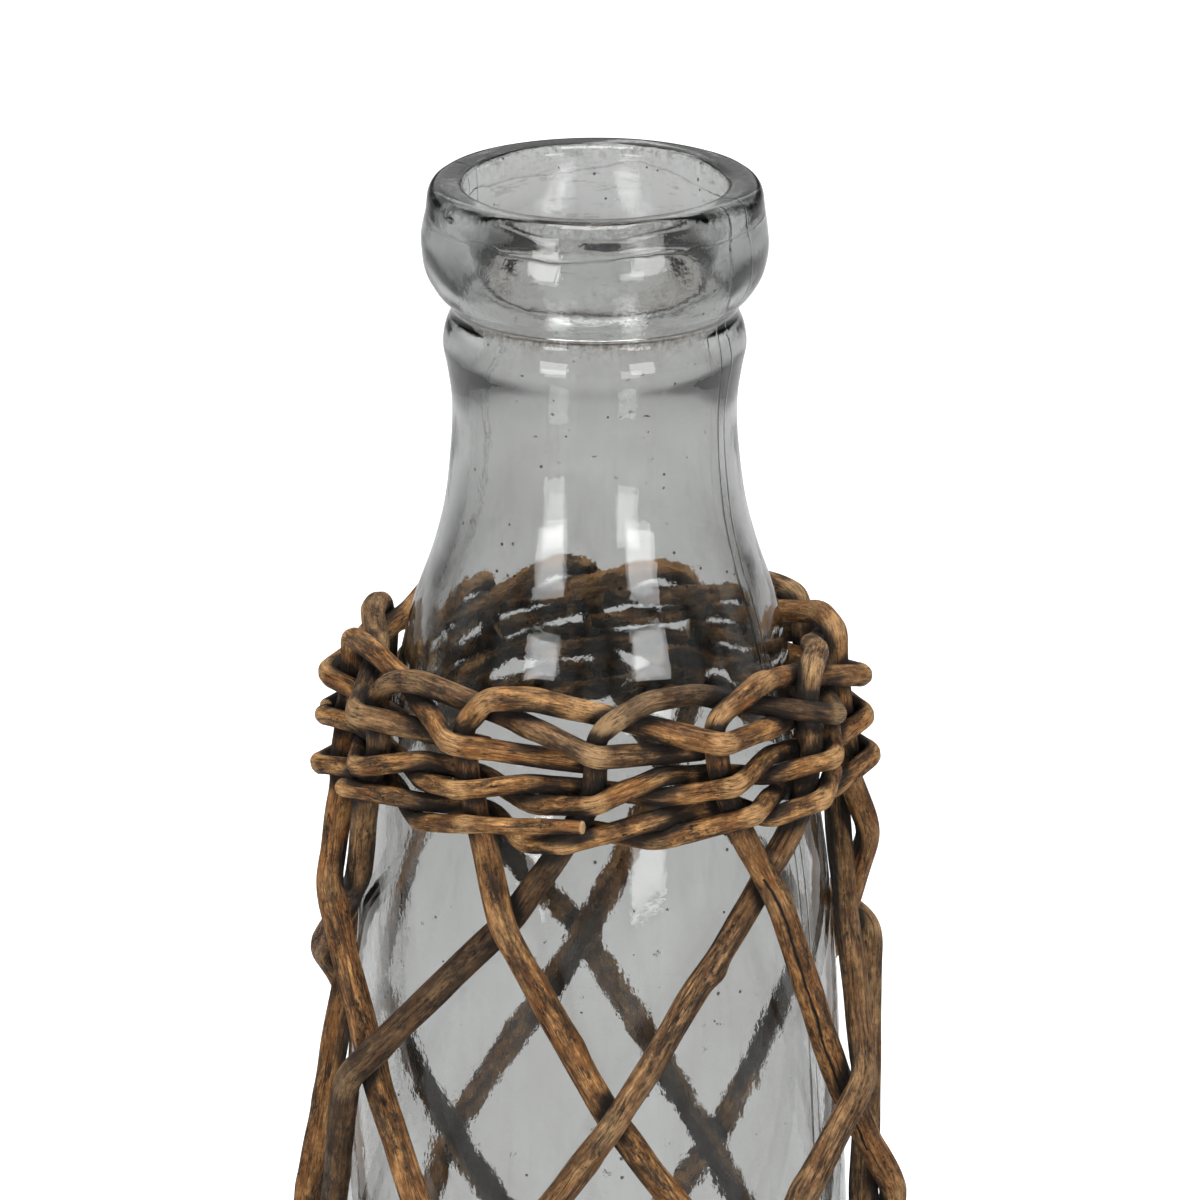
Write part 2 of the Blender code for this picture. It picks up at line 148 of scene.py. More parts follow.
def makeMesh(name, points, *faces):
    # a smooth-shaded mesh from an array of points and arrays of faces
    mesh = bpy.data.meshes.new(name)
    mesh.from_pydata(points.tolist(), [], [face for part in faces for face in part.tolist()])
    mesh.polygons.foreach_set("use_smooth", np.full(len(mesh.polygons), True))
    mesh.update()
    piece = bpy.data.objects.new(name, mesh)
    bpy.context.scene.collection.objects.link(piece)
    return piece


def addNumbers(piece, name, values, kind="FLOAT"):
    # one number, or one vector, for each point of the mesh
    layer = piece.data.attributes.new(name, kind, "POINT")
    layer.data.foreach_set("vector" if kind == "FLOAT_VECTOR" else "value", np.ravel(values))


# Bottle

bottle = dict(
    height=0.2919, body=0.0472, neck=0.0260, neckDepth=0.0385, lip=0.0313, mouth=0.0236,
    groove=0.0258, grooveDepth=0.0234, ring=0.0274, ringDepth=0.0295,
    wall=0.0036, baseWall=0.0055, heel=0.0070, puntRise=0.0028, boreTaper=0.0001, rimWidth=0.0030,
    lipShares=((0.00, 0.52), (0.05, 0.70), (0.22, 0.84), (0.50, 1.00), (0.68, 0.87), (0.84, 0.52)),
    bodyShares=((0.819, 0.02), (0.793, 0.07), (0.767, 0.16), (0.730, 0.33), (0.685, 0.47),
                (0.627, 0.635), (0.566, 0.765), (0.499, 0.850), (0.440, 0.905), (0.340, 0.960),
                (0.190, 1.00)),
    # the mouth's edge: out from the bore, and down from the top
    mouthEdge=((0.0011, 0.00005), (0.0003, 0.0006), (0.0, 0.0022), (-0.0001, 0.00702),
               (-0.0003, 0.01404)),
    sides=128, ringStep=0.0010,
    # waves of the blown glass: how many to a turn, how they climb, where they start, and their share
    wave=0.00010, waves=((3, 90, 0.6, 1.0), (2, -55, 2.1, 0.7), (5, 160, 0.0, 0.5)), calmWithin=0.03,
    lipWave=0.00009 / 1.6, lipFade=0.004,
    lipWaves=((4, 420, 1.0, 1.0), (7, -700, 0.0, 0.7), (11, 950, 2.0, 0.5)),
)

cover = dict(
    stakeBase=0.0025, stakeCollar=0.0021, stakeTip=0.0019, weaver=0.0018, leanRoom=0.0003,
    collarRows=2, collarLow=0.1958, footRows=2, pairStart=5, rowStart=4,
    crossingHeights=(0.1795, 0.1435, 0.1045, 0.0655), crossingSkews=(-0.1, -0.4, -0.4, -0.4),
    strays={(0, 0): (-0.04, 0.00), (0, 1): (-0.03, 0.05), (0, 2): (-0.20, 0.00),
            (0, 5): (0.20, -0.07), (1, 1): (0.02, -0.04), (1, 2): (-0.50, 0.38),
            (1, 4): (0.23, 0.24), (1, 5): (0.05, 0.03), (2, 1): (-0.40, 0.26),
            (2, 4): (0.17, -0.24)},
    latticeRoom=0.0010, borderRoom=0.0008,
    stick=0.0018, stickReach=0.0310, baseWeaver=0.0016, weaveStart=0.0185, baseEdge=0.0140,
    standingRun=0.0036,
)
sticksEachWay = stakeCount // 4

stakeBase, stakeCollar, stakeTip, weaver, stick, baseWeaver = [
    cover[key] for key in ("stakeBase", "stakeCollar", "stakeTip", "weaver", "stick", "baseWeaver")]

swing = weaver + gap / 2
baseLevel = stakeBase + 2 * baseWeaver + 3 * gap
glassFloor = baseLevel + stakeBase + 2 * baseWeaver + 2 * gap
glassTop = glassFloor + bottle["height"]
grooveLevel, ringLevel, neckLevel = [glassTop - bottle[key]
                                     for key in ("grooveDepth", "ringDepth", "neckDepth")]
collarRows = [cover["collarLow"] + row * 4 * swing for row in range(cover["collarRows"])]
footRows = [2 * stakeBase + weaver + gap + row * 4 * swing for row in range(cover["footRows"])]
collarBottom = collarRows[0] - 2 * weaver
borderLevel = collarRows[-1] + swing + weaver + stakeCollar + gap
footTop = footRows[-1] + 2 * weaver


def outerOutline():
    # radius and height of the glass, from the top of the lip down to the heel
    lipRadius, groove, ring, neck, body = [bottle[key] for key in ("lip", "groove", "ring", "neck", "body")]
    lip = [(groove + r * (lipRadius - groove), glassTop - z * bottle["grooveDepth"])
           for z, r in bottle["lipShares"]]
    bead = [(groove, grooveLevel), ((groove + 2 * ring) / 3, (grooveLevel + ringLevel) / 2),
            (ring, ringLevel), ((neck + ring) / 2, (ringLevel + neckLevel) / 2), (neck, neckLevel)]
    side = [(neck + r * (body - neck), glassFloor + z * bottle["height"])
            for z, r in bottle["bodyShares"]]
    return lip, bead, [bead[-1], *side, (body, glassFloor + bottle["heel"])]


def glassRadius(heights):
    # the outside of the body and neck at a height, read from the outline
    radius, level = smoothLine(outerOutline()[2]).T
    return np.interp(heights, level[::-1], radius[::-1])


def quarterArc(radius, base, rounding, corners=12):
    # a quarter circle, from an upright side of this radius inwards and down to the base
    turn = np.linspace(0, np.pi / 2, corners)[1:]
    return np.stack([radius - rounding * (1 - np.cos(turn)), base + rounding * (1 - np.sin(turn))],
                    axis=1)


def bottleOutline():
    # one line from the middle of the inside, up the inner wall, over the lip and down the outside
    lip, bead, side = outerOutline()
    body, mouth, wall, baseWall, heel, punt = [
        bottle[key] for key in ("body", "mouth", "wall", "baseWall", "heel", "puntRise")]
    bore = bottle["neck"] - wall
    innerSide = np.array(side) - (wall, 0)
    innerFoot = quarterArc(body - wall, glassFloor + baseWall, heel)
    rise = glassFloor + baseWall + punt
    innerFloor = smoothLine([innerFoot[-1], (body * 0.4, rise - punt * 0.4), (0, rise)], 16)
    inner = smoothLine([*((mouth + out, glassTop - down) for out, down in bottle["mouthEdge"]),
                        (bore + bottle["boreTaper"], grooveLevel), (bore, ringLevel), *innerSide], 10)
    inside = np.vstack([inner[:-1], innerSide[-1:], innerFoot, innerFloor[1:]])[::-1]
    outside = smoothLine([(mouth + bottle["rimWidth"], glassTop), *lip, *bead, *side[1:]], 10)
    outerFoot = quarterArc(body, glassFloor, heel)
    under = smoothLine([(body - heel - baseWall, glassFloor),
                        (body - heel - 2 * baseWall, glassFloor + punt / 2),
                        (body / 4, glassFloor + punt * 0.94), (0, glassFloor + punt)], 10)
    return evenly(np.vstack([inside, outside, outerFoot, under]), bottle["ringStep"])


def waving(turn, height, waves):
    # the sum of share * sin(count * turn + climb * height + start)
    return sum(share * np.sin(count * turn + climb * height[:, None] + start)
               for count, climb, start, share in waves)


def makeBottle():
    # The outline carried round the axis. Sines of the angle and the height are added to each
    # radius: three slow ones all over, which die out towards the axis, and three quick ones in
    # the lip.
    outline = bottleOutline()
    radius, height = outline[1:-1].T
    turn = np.linspace(0, 2 * np.pi, bottle["sides"], endpoint=False)[None, :]
    calm = np.clip(radius[:, None] / bottle["calmWithin"], 0, 1)
    inLip = np.clip((height[:, None] - grooveLevel) / bottle["lipFade"], 0, 1)
    wide = (radius[:, None] + bottle["wave"] * calm * waving(turn, height, bottle["waves"])
            + bottle["lipWave"] * inLip * waving(turn, height, bottle["lipWaves"]))
    points = np.stack([wide * np.sin(turn), -wide * np.cos(turn), height[:, None] + 0 * turn], axis=-1)
    points = np.vstack([points.reshape(-1, 3), [[0, 0, outline[0][1]], [0, 0, outline[-1][1]]]])
    quads, fans = closedFaces(*wide.shape)
    return makeMesh("glassBottle", points, quads[:, ::-1], fans[:, ::-1])


# Routes of the willow: the same formulas as the solids, with more points

def twiningOffset(upright):
    # from the middle of an upright to the middle of a twined rod that passes it
    return upright + weaver + gap + cover["leanRoom"]


collarRadius = float(glassRadius(collarRows[0] - weaver / 2)) + gap + weaver + twiningOffset(stakeCollar)
borderRadius = float(glassRadius(borderLevel)) + cover["borderRoom"] + 3 * stakeCollar + gap
footRadius = bottle["body"] + gap + weaver + twiningOffset(stakeBase)
baseWeaveEnd = footRadius - cover["baseEdge"]


def crossing(row, number):
    # angle and height of a crossing: two spacings from the next one in its row, one spacing on from
    # the row above it, and moved by its own stray
    angleStray, heightStray = cover["strays"].get((row, number % (stakeCount // 2)), (0, 0))
    levels = cover["crossingHeights"]
    angle = spacing * (2 * number + row - 0.5 + cover["crossingSkews"][row] + angleStray)
    return angle, levels[row] + heightStray * (levels[0] - levels[1])


def hand(index):
    # 1 for an upright that goes to the right on its way down, -1 to the left
    return 1 if index % 2 else -1


def latticeLine(index):
    # angle against height of an upright: from the collar through its crossings to the foot, as a
    # smooth line on the unrolled body; and the heights of its crossings
    keys = [(index * spacing, collarRows[-1])]
    for row in range(len(cover["crossingHeights"])):
        keys.append(crossing(row, (index + 1) // 2 if hand(index) > 0 else index // 2 - row))
    keys.append((keys[-1][0] + hand(index) * spacing / 2, footTop))
    keys = np.array(keys)
    arc = math.radians(1) * bottle["body"]
    return smoothLine(keys * (arc, 1)) / (arc, 1), keys[1:-1, 1]


def stakeAngle(index, height):
    # the same line, read at a height
    line, _ = latticeLine(index)
    return np.interp(height, line[::-1, 1], line[::-1, 0])


def stakesAround(height):
    # the angles of all the uprights at a height, in their order round the bottle
    angles = np.array([stakeAngle(index, height) for index in range(stakeCount)])
    return np.sort((angles + spacing / 2) % fullTurn) - spacing / 2


def circleRadius(heights):
    # of the circle that the uprights stand on: the glass and two layers of rods in the lattice,
    # going over in straight lines to the foot's circle below and the collar's above, from which
    # it narrows to the border's
    levels = cover["crossingHeights"]
    room = np.interp(heights, levels[1::-1], [cover["latticeRoom"], 0])
    layers = glassRadius(heights) + room + 1.5 * gap + 2 * stakeBase
    down = np.interp(heights, [footTop, levels[-1]], [1, 0])
    up = np.interp(heights, [levels[0], collarBottom], [0, 1])
    drawn = np.interp(heights, [collarRows[0], borderLevel], [0, collarRadius - borderRadius])
    return layers + down * (footRadius - layers) + up * (collarRadius - layers) - drawn


# The uprights of the lattice: thicker than the collar part, and the crossings a little deeper than
# half a rod, since each bend is rounded off.
latticeValues = dict(fuller=1.13, collarFuller=1.04, bend=0.0030, deeper=1.10, outward=0.0003)


def latticeRoute(index):
    # straight from crossing to crossing, over at one and under at the next
    line, levels = latticeLine(index)
    heights = np.array([footTop, *levels[::-1], collarBottom])
    rows = np.array([len(levels) - 0.5, *range(len(levels) - 1, -1, -1), -0.5])
    angles = np.interp(heights, line[::-1, 1], line[::-1, 0])
    layer = hand(index) * (stakeBase + gap / 2) * latticeValues["deeper"]
    middle = circleRadius(heights) + latticeValues["outward"] * (np.abs(np.cos(np.pi * rows)) > 0.5)
    return around(angles, middle + layer * np.cos(np.pi * rows), heights)


# How each upright is folded down: spacings round, out of the circle (-1 behind, 1 before), and
# how many rods high. It slants up, runs to the right behind one, before the second, and ends
# behind the third.
borderValues = dict(
    rounding=0.0019,
    usual=((0.00, 0.00, 0.95), (0.08, -0.02, 2.20), (0.42, -0.40, 2.42), (1.04, -1.05, 1.68),
           (1.97, 1.15, 0.36), (3.02, -1.00, -0.15)),
    own={8: ((0.00, 0.00, 0.95), (0.14, -0.02, 2.30), (0.45, -0.35, 2.42), (1.06, -1.05, 1.60),
             (1.93, 1.15, 0.42), (3.02, -1.00, -0.10)),
         9: ((0.00, 0.00, 0.95), (0.06, 0.00, 2.20), (0.40, -0.40, 2.30), (1.04, -1.05, 1.60),
             (1.92, 1.15, 0.55), (2.97, -0.95, -0.45)),
         10: ((-0.12, 0.00, 0.90), (0.12, 0.00, 2.00), (0.42, -0.30, 2.28), (1.00, -1.05, 1.55),
              (1.60, 0.05, 1.20), (2.00, 1.15, 0.52), (2.96, -0.95, -0.25)),
         11: ((-0.09, 0.00, 0.90), (0.12, -0.02, 2.28), (0.50, -0.45, 2.42), (1.04, -1.05, 1.62),
              (1.93, 1.15, 0.62), (2.40, 0.30, 0.52), (3.02, -0.95, -0.10)),
         0: ((0.00, 0.00, 0.95), (0.10, 0.00, 1.55), (0.42, -0.20, 2.42), (0.86, -0.80, 2.32),
             (1.22, -1.00, 1.70), (2.12, 1.15, 0.25), (3.02, -1.00, -0.10)),
         1: ((-0.04, 0.00, 1.00), (0.02, 0.00, 1.55), (0.50, -0.30, 2.38), (1.08, -1.05, 1.72),
             (1.97, 1.15, 0.40), (3.02, -1.00, -0.10))},
)


def borderRoute(index):
    # the fold's spacings and rods turned into angles, radii and heights
    turn, out, high = np.array(borderValues["own"].get(index, borderValues["usual"])).T
    offset = 2 * stakeCollar + gap
    step = stakeCollar + stakeTip + gap
    heights = borderLevel + high * step
    circle = np.interp(heights, [collarRows[0], borderLevel], [collarRadius, borderRadius])
    return around((index + turn) * spacing, circle + out * offset, heights)


def footRoute(index):
    # level through the base weave, down to the floor past its edge, a short run along the floor
    # and a quarter bend up at the foot's circle
    thick = stakeBase
    bend = 1.5 * thick
    rise = footRadius - bend
    edge = baseWeaveEnd + 2 * baseWeaver
    turn = np.radians((30, 60))
    corner = zip(rise + bend * np.sin(turn), thick + bend * (1 - np.cos(turn)))
    radii, heights = np.array([
        (cover["stickReach"] + gap, baseLevel), (edge - thick, baseLevel), (edge, baseLevel - gap),
        (rise - cover["standingRun"] - thick / 2, 1.5 * thick),
        *((rise - share * cover["standingRun"], thick) for share in (1, 0.85, 0.15, 0)),
        *corner, (footRadius, thick + bend)]).T
    return around(stakeAngle(index, footTop), radii, heights)


def stakeRoute(index):
    # foot, lattice, collar and border as one line, with the radius of the rod at each point
    foot = smoothLine(footRoute(index), 8)
    lattice = latticeRoute(index)
    collarHeights = np.array(collarRows)
    collar = around(stakeAngle(index, collarHeights), circleRadius(collarHeights), collarHeights)
    border = borderRoute(index)
    keys = np.vstack([foot[-1:], lattice, collar, border])
    bends = np.full(len(keys) - 2, borderValues["rounding"])
    bends[:len(lattice)] = latticeValues["bend"]
    line = np.vstack([foot[:-1], bentLine(keys, bends)])
    along = lengthsAlong(line)
    nearest = [int(np.argmin(np.linalg.norm(line - place, axis=1)))
               for place in (lattice[0], lattice[-1], collar[-1])]
    places = [0, *along[nearest], along[-1]]
    fuller = latticeValues["fuller"]
    sizes = [stakeBase, fuller * stakeBase, fuller * stakeCollar,
             latticeValues["collarFuller"] * stakeCollar, stakeTip]
    return line, np.interp(along, places, sizes)


# How far the twined rods stray from their rows, in rods high, by row and by the upright they
# pass: a half is the gap that follows it.
twineValues = dict(
    rounding=0.0016, bendOut=0.0004, middle=0.978,
    # where a rod ends before its first upright: share of the gap, how far out, how high
    usualTail=((0.5, -0.2, 0.9 * swing), (0.9, 0.92, 0.5 * swing)),
    tails={(0, 0): ((0.5, 0.90, 0.0030), (0.85, 1.00, 0.0036), (1.17, 1.24, 0.0041))},
    strays={(1, 10): -0.45, (1, 10.5): 0.0, (1, 11): 0.1, (1, 11.5): -0.15, (1, 0): -0.14,
            (1, 0.5): 0.2, (1, 1): 0.2, (1, 1.5): 0.2, (0, 10): 0.5, (0, 10.5): 0.08, (0, 11): 0.7,
            (0, 11.5): -0.05, (0, 0): 0.14, (0, 0.5): 0.2, (0, 1): 0.8, (0, 1.5): 0.28, (0, 2): 0.5},
)


def ringRoute(rowHeight, row, upright, start, strays, tails):
    # in front of one upright and behind the next, over the other rod on the way back and under
    # it on the way out
    circle = float(circleRadius(rowHeight))
    offset = twiningOffset(upright)
    standing = stakesAround(rowHeight)
    halves = np.arange(2 * stakeCount)
    uprights = halves // 2 + start
    here, following = [standing[numbers % stakeCount] + numbers // stakeCount * fullTurn
                       for numbers in (uprights, uprights + 1)]
    angles = np.where(halves % 2, (here + following) / 2, here)
    front = -np.cos(np.pi * halves / 2)
    out = np.where(halves % 2, 0, front * offset + np.sign(front) * twineValues["bendOut"])
    places = (uprights + np.where(halves % 2, 0.5, 0)) % stakeCount
    stray = np.array([strays.get((row, float(place)), 0) for place in places])
    high = 2 * weaver * stray - np.sin(np.pi * halves / 2) * swing
    keys = around(angles, circle * np.where(halves % 2, twineValues["middle"], 1) + out, rowHeight + high)
    share, outward, high = np.array(tails.get((row, start), twineValues["usualTail"])).T
    last = angles[-2] + (angles[0] + fullTurn - angles[-2]) * share
    tail = around(last, circle + offset * outward, rowHeight + high)
    return bentLine(np.vstack([keys[:-1], tail]), twineValues["rounding"])


def stickRoute(side, across, turn):
    # beside its neighbours over the middle, one radius above or below the base's level, then out
    # along its own spoke; the other half is the same, mirrored
    step = 2 * stick + gap
    angle = math.radians(side * spacing)
    bend = step / math.tan(math.radians(spacing))
    way = np.array((math.cos(angle), math.sin(angle), 0))
    half = np.array([(0, side * step, 1), (bend, side * step, 1), 2 * bend * way,
                     cover["stickReach"] * way])
    keys = np.vstack([half[:0:-1] * (-1, 1, 1), half])
    lift = (1 if across else -1) * (stick + gap / 2)
    line = smoothLine(keys * (1, 1, lift) + (0, 0, baseLevel), 10)
    spin = math.radians(turn + 90 * across)
    return line @ np.array([(math.cos(spin), math.sin(spin), 0), (-math.sin(spin), math.cos(spin), 0),
                            (0, 0, 1)])


def coilRoute(number, turn):
    # a spiral, one pitch further out for each round, over one spoke and under the next: its height
    # swings as a cosine and its radius as a sine, and the second rod is half a wave behind
    pitch = 4 * (baseWeaver + gap / 2)
    rounds = (baseWeaveEnd - cover["weaveStart"]) / pitch
    gaps = np.arange(0, rounds * stakeCount, 1 / 10)
    middle = cover["weaveStart"] + gaps / stakeCount * pitch
    onSticks = stick + baseWeaver + 3 * gap
    onStakes = stakeBase + baseWeaver + gap
    joint = [cover["stickReach"] - 2 * stakeBase, cover["stickReach"]]
    offset = np.interp(middle, joint, [onSticks, onStakes])
    phase = np.pi * (gaps + number)
    return around(turn + gaps * spacing, middle + (baseWeaver + gap / 2) * np.sin(phase),
                  baseLevel + offset * np.cos(phase))


# Willow rods

rodValues = dict(
    ringStep=0.0006, wobble=0.00008, wobblePitch=0.018, twist=25, lumps=0.03, lumpPitch=0.02,
    ridges=((2, 0.05), (3, 0.022), (7, 0.014)),  # how many round the rod, and how high
    knotSpacing=0.035, knotRise=0.20, knotRange=(0.4, 1.0), knotPlaces=(0.03, 0.97), knotLength=0.0022,
    bendFlat=0.16, bendSharp=0.5, bendWide=0.35,
    capShrink=(0.88, 0.50), capPush=(0.24, 0.38), capMiddle=0.41, tornWhite=2.2,
)
rodPaths = {}  # by name: each rod's middle line, radius, length along, and the two ways across it


def slowNoise(seed, along, pitch, waves=7):
    # a sum of sines of random length and phase, about 1 high
    rng = np.random.default_rng(seed)
    lengths = pitch * rng.uniform(0.6, 2.2, waves)
    phases = rng.uniform(0, 2 * np.pi, waves)
    return np.sin(2 * np.pi * along[..., None] / lengths + phases).sum(axis=-1) / math.sqrt(waves)


def settledPath(line, seed, wobble):
    # the line at even steps, its corners softened, with a slow drift to both sides
    path = evenly(line, rodValues["ringStep"])
    wanted = np.linspace(0, lengthsAlong(line)[-1], len(path))
    soft = np.array([1, 2, 1]) / 4
    padded = np.vstack([path[:1], path, path[-1:]])
    path = np.stack([np.convolve(column, soft, "valid") for column in padded.T], axis=1)
    _, *sideways = steadyFrames(path)
    for number, way in enumerate(sideways):
        drift = rodValues["wobble"] * wobble * slowNoise(seed + number, wanted, rodValues["wobblePitch"])
        path = path + drift[:, None] * way
    return path, wanted


def flattening(along, radius, turn, ways, across, upward):
    # how sharply the rod is bent at each point, and its radius there as a share
    bend = np.gradient(ways, along, axis=0)
    sharp = np.clip(np.linalg.norm(bend, axis=1) * radius / rodValues["bendSharp"], 0, 1)[:, None]
    way = unit(bend)
    inward = ((across * way).sum(axis=1)[:, None] * np.cos(turn)
              + (upward * way).sum(axis=1)[:, None] * np.sin(turn))
    return sharp, 1 - rodValues["bendFlat"] * sharp * (inward**2 - rodValues["bendWide"])


def rodShape(along, turn, seed, rng):
    # the radius at each length and angle, as a share: ridges, lumps and knots
    twist = rng.uniform(-rodValues["twist"], rodValues["twist"]) * along[:, None]
    shape = 1
    for count, size in rodValues["ridges"]:
        shape = shape + size * np.cos(count * (turn + twist) + rng.uniform(0, 6))
    shape = shape + rodValues["lumps"] * slowNoise(seed + 3, along, rodValues["lumpPitch"])[:, None]
    knots = int(along[-1] / rodValues["knotSpacing"])
    spots = rng.uniform(*rodValues["knotPlaces"], knots) * along[-1]
    facing = np.cos(turn[:, :, None] - rng.uniform(0, 2 * np.pi, knots))
    rises = rodValues["knotRise"] * rng.uniform(*rodValues["knotRange"], knots)
    near = np.exp(-((along[:, None] - spots) / rodValues["knotLength"])**2)
    return shape + (near[:, None, :] * rises * np.clip(facing * 0.7 + 0.3, 0, 1)**2).sum(axis=-1)


def makeRod(name, line, radii, seed, sides=24, wobble=1.0, slants=(0.3, 0.5), torn=()):
    # A round profile carried along the line. Its radius swells at knots, runs in soft ridges
    # and is flattened where the rod is bent, and each end is closed by a slanting cut.
    path, wanted = settledPath(line, seed, wobble)
    along = lengthsAlong(line)
    radius = np.interp(wanted, along, np.broadcast_to(radii, len(along)))
    ways, across, upward = steadyFrames(path)
    rodPaths[name] = dict(path=path, radius=radius, along=wanted, across=across, upward=upward)
    rng = np.random.default_rng(seed + 2)
    turn = np.linspace(0, 2 * np.pi, sides, endpoint=False)[None, :]
    sharp, flattened = flattening(wanted, radius, turn, ways, across, upward)
    wide = radius[:, None] * rodShape(wanted, turn, seed, rng) * flattened
    flat = np.stack([wide * np.cos(turn), wide * np.sin(turn)], axis=-1)
    points = path[:, None] + flat[..., :1] * across[:, None] + flat[..., 1:] * upward[:, None]
    space = np.concatenate([np.broadcast_to(wanted[:, None, None], (*wide.shape, 1)), flat], axis=-1)
    # caps: two more rings and a middle point, pushed along by the slant of the cut
    rows, spaces, cuts = [points], [space], [np.zeros(wide.shape)]
    poles = []
    shrink = np.array(rodValues["capShrink"])[:, None]
    for end, sign, slant in ((0, -1, slants[0]), (-1, 1, slants[1])):
        tilt = slant * wide[end] * np.cos(turn[0] + rng.uniform(0, 6))
        push = sign * (tilt * shrink + radius[end] * np.array(rodValues["capPush"])[:, None])
        ring = (path[end] + shrink[..., None] * (points[end] - path[end])[None]
                + push[..., None] * ways[end])
        ringSpace = np.concatenate([wanted[end] + push[..., None], shrink[..., None] * flat[end][None]],
                                   axis=-1)
        order = slice(None, None, -1) if end == 0 else slice(None)
        place = 0 if end == 0 else len(rows)
        for parts, added in ((rows, ring[order]), (spaces, ringSpace[order]),
                             (cuts, np.ones((2, sides)))):
            parts.insert(place, added)
        poles.append((path[end] + sign * radius[end] * rodValues["capMiddle"] * ways[end],
                      (wanted[end], 0, 0)))
        points[end] += (sign * tilt)[:, None] * ways[end]
    allPoints = np.vstack(rows)
    allPoints[..., 2] = np.maximum(allPoints[..., 2], gap / 2)  # worn flat where it stands
    middles, middleSpaces = zip(*poles)
    vertices = np.vstack([allPoints.reshape(-1, 3), middles])
    rod = makeMesh(name, vertices, *closedFaces(len(allPoints), sides))
    addNumbers(rod, "rodSpace", np.vstack([np.vstack(spaces).reshape(-1, 3), middleSpaces]),
               "FLOAT_VECTOR")
    addNumbers(rod, "cutEnd", np.concatenate([np.vstack(cuts).ravel(), [1, 1]]))
    bent = np.concatenate([np.repeat(np.concatenate([[0, 0], sharp[:, 0], [0, 0]]), sides), [0, 0]])
    for place, size in torn:
        away = np.linalg.norm(vertices - place, axis=1) / size
        bent = bent + rodValues["tornWhite"] * np.exp(-away**2)
    addNumbers(rod, "bentHere", bent)
    return rod


creviceValues = dict(reach=0.0030, search=0.0060, batch=512)


def thoseNear(centres, chosen, points):
    # which of the chosen centres lie in the box of the points, or just outside it
    low = points.min(axis=0) - creviceValues["search"]
    high = points.max(axis=0) + creviceValues["search"]
    return chosen[np.all((centres[chosen] > low) & (centres[chosen] < high), axis=1)]


def addCreviceShade():
    # how deep each point of a rod lies between its neighbours, for the painted shade on its bark there:
    # 1 where it touches another rod or the glass, 0 from `reach` away
    reach = creviceValues["reach"]
    batch = creviceValues["batch"]
    centres = np.vstack([rod["path"] for rod in rodPaths.values()])
    radii = np.concatenate([rod["radius"] for rod in rodPaths.values()])
    owner = np.repeat(np.arange(len(rodPaths)), [len(rod["path"]) for rod in rodPaths.values()])
    for number, name in enumerate(rodPaths):
        piece = bpy.data.objects[name]
        count = len(piece.data.vertices)
        points = np.empty(3 * count)
        piece.data.vertices.foreach_get("co", points)
        points = points.reshape(-1, 3)
        others = thoseNear(centres, np.where(owner != number)[0], points)
        room = np.full(count, reach)
        for start in range(0, count, batch):
            part = points[start:start + batch]
            near = thoseNear(centres, others, part)
            if len(near):
                away = np.linalg.norm(part[:, None] - centres[None, near], axis=2) - radii[None, near]
                room[start:start + batch] = np.minimum(reach, away.min(axis=1))
        glass = np.hypot(points[:, 0], points[:, 1]) - glassRadius(points[:, 2])
        room = np.minimum(room, np.where(points[:, 2] > glassFloor, np.abs(glass), reach))
        addNumbers(piece, "crevice", np.clip(1 - room / reach, 0, 1))


# Node helpers; a socket knows the tree that it is in

def isSocket(value):
    return isinstance(value, bpy.types.NodeSocket)


def treeOf(*values):
    return next(value.id_data for value in values if isSocket(value))


def fillInputs(node, values):
    # each value is a constant, or the socket that is linked there
    for key, value in values.items():
        if isSocket(value):
            node.id_data.links.new(value, node.inputs[key])
        else:
            node.inputs[key].default_value = value


def addNode(tree, kind, values=None, **settings):
    node = tree.nodes.new(kind)
    for key, value in settings.items():
        setattr(node, key, value)
    fillInputs(node, values or {})
    return node


def mathNode(operation, *values, clamp=False):
    return addNode(treeOf(*values), "ShaderNodeMath", dict(enumerate(values)), operation=operation,
                   use_clamp=clamp).outputs[0]


def times(first, *others):
    for other in others:
        first = mathNode("MULTIPLY", first, other)
    return first


def weighted(*parts):
    # the sum of the values, each times its weight
    total = 0.0
    for value, weight in parts:
        total = mathNode("MULTIPLY_ADD", value, weight, total)
    return total


def sway(noise, size):
    # a noise turned into a shift to both sides, `size` from end to end
    return times(mathNode("SUBTRACT", noise, 0.5), size)


def dotProduct(first, second):
    return addNode(treeOf(first), "ShaderNodeVectorMath", {0: first, 1: second},
                   operation="DOT_PRODUCT").outputs["Value"]


def xyzOf(vector):
    outputs = addNode(treeOf(vector), "ShaderNodeSeparateXYZ", {0: vector}).outputs
    return outputs[0], outputs[1], outputs[2]


def ramp(value, *stops):
    # each stop is a place and the grey there
    node = addNode(treeOf(value), "ShaderNodeValToRGB", {0: value})
    elements = node.color_ramp.elements
    while len(elements) < len(stops):
        elements.new(0.5)
    for element, (place, shade) in zip(elements, stops):
        element.position = place
        element.color = (shade, shade, shade, 1)
    return node.outputs[0]


def nearLine(away, full, none):
    # 1 up to `full` away from a line, falling to 0 at `none`, for lines finer than a ramp can hold
    left = mathNode("SUBTRACT", none, mathNode("ABSOLUTE", away))
    return mathNode("DIVIDE", left, none - full, clamp=True)


def blendColour(mask, first, second, how="MIX"):
    first, second = [(*value, 1) if isinstance(value, tuple) else value for value in (first, second)]
    return addNode(treeOf(mask, first, second), "ShaderNodeMix", {0: mask, 6: first, 7: second},
                   data_type="RGBA", blend_type=how).outputs[2]


def layColours(colour, layers):
    # one colour over the last, each by its mask
    for mask, layer, *how in layers:
        colour = blendColour(mask, colour, layer, *how)
    return colour


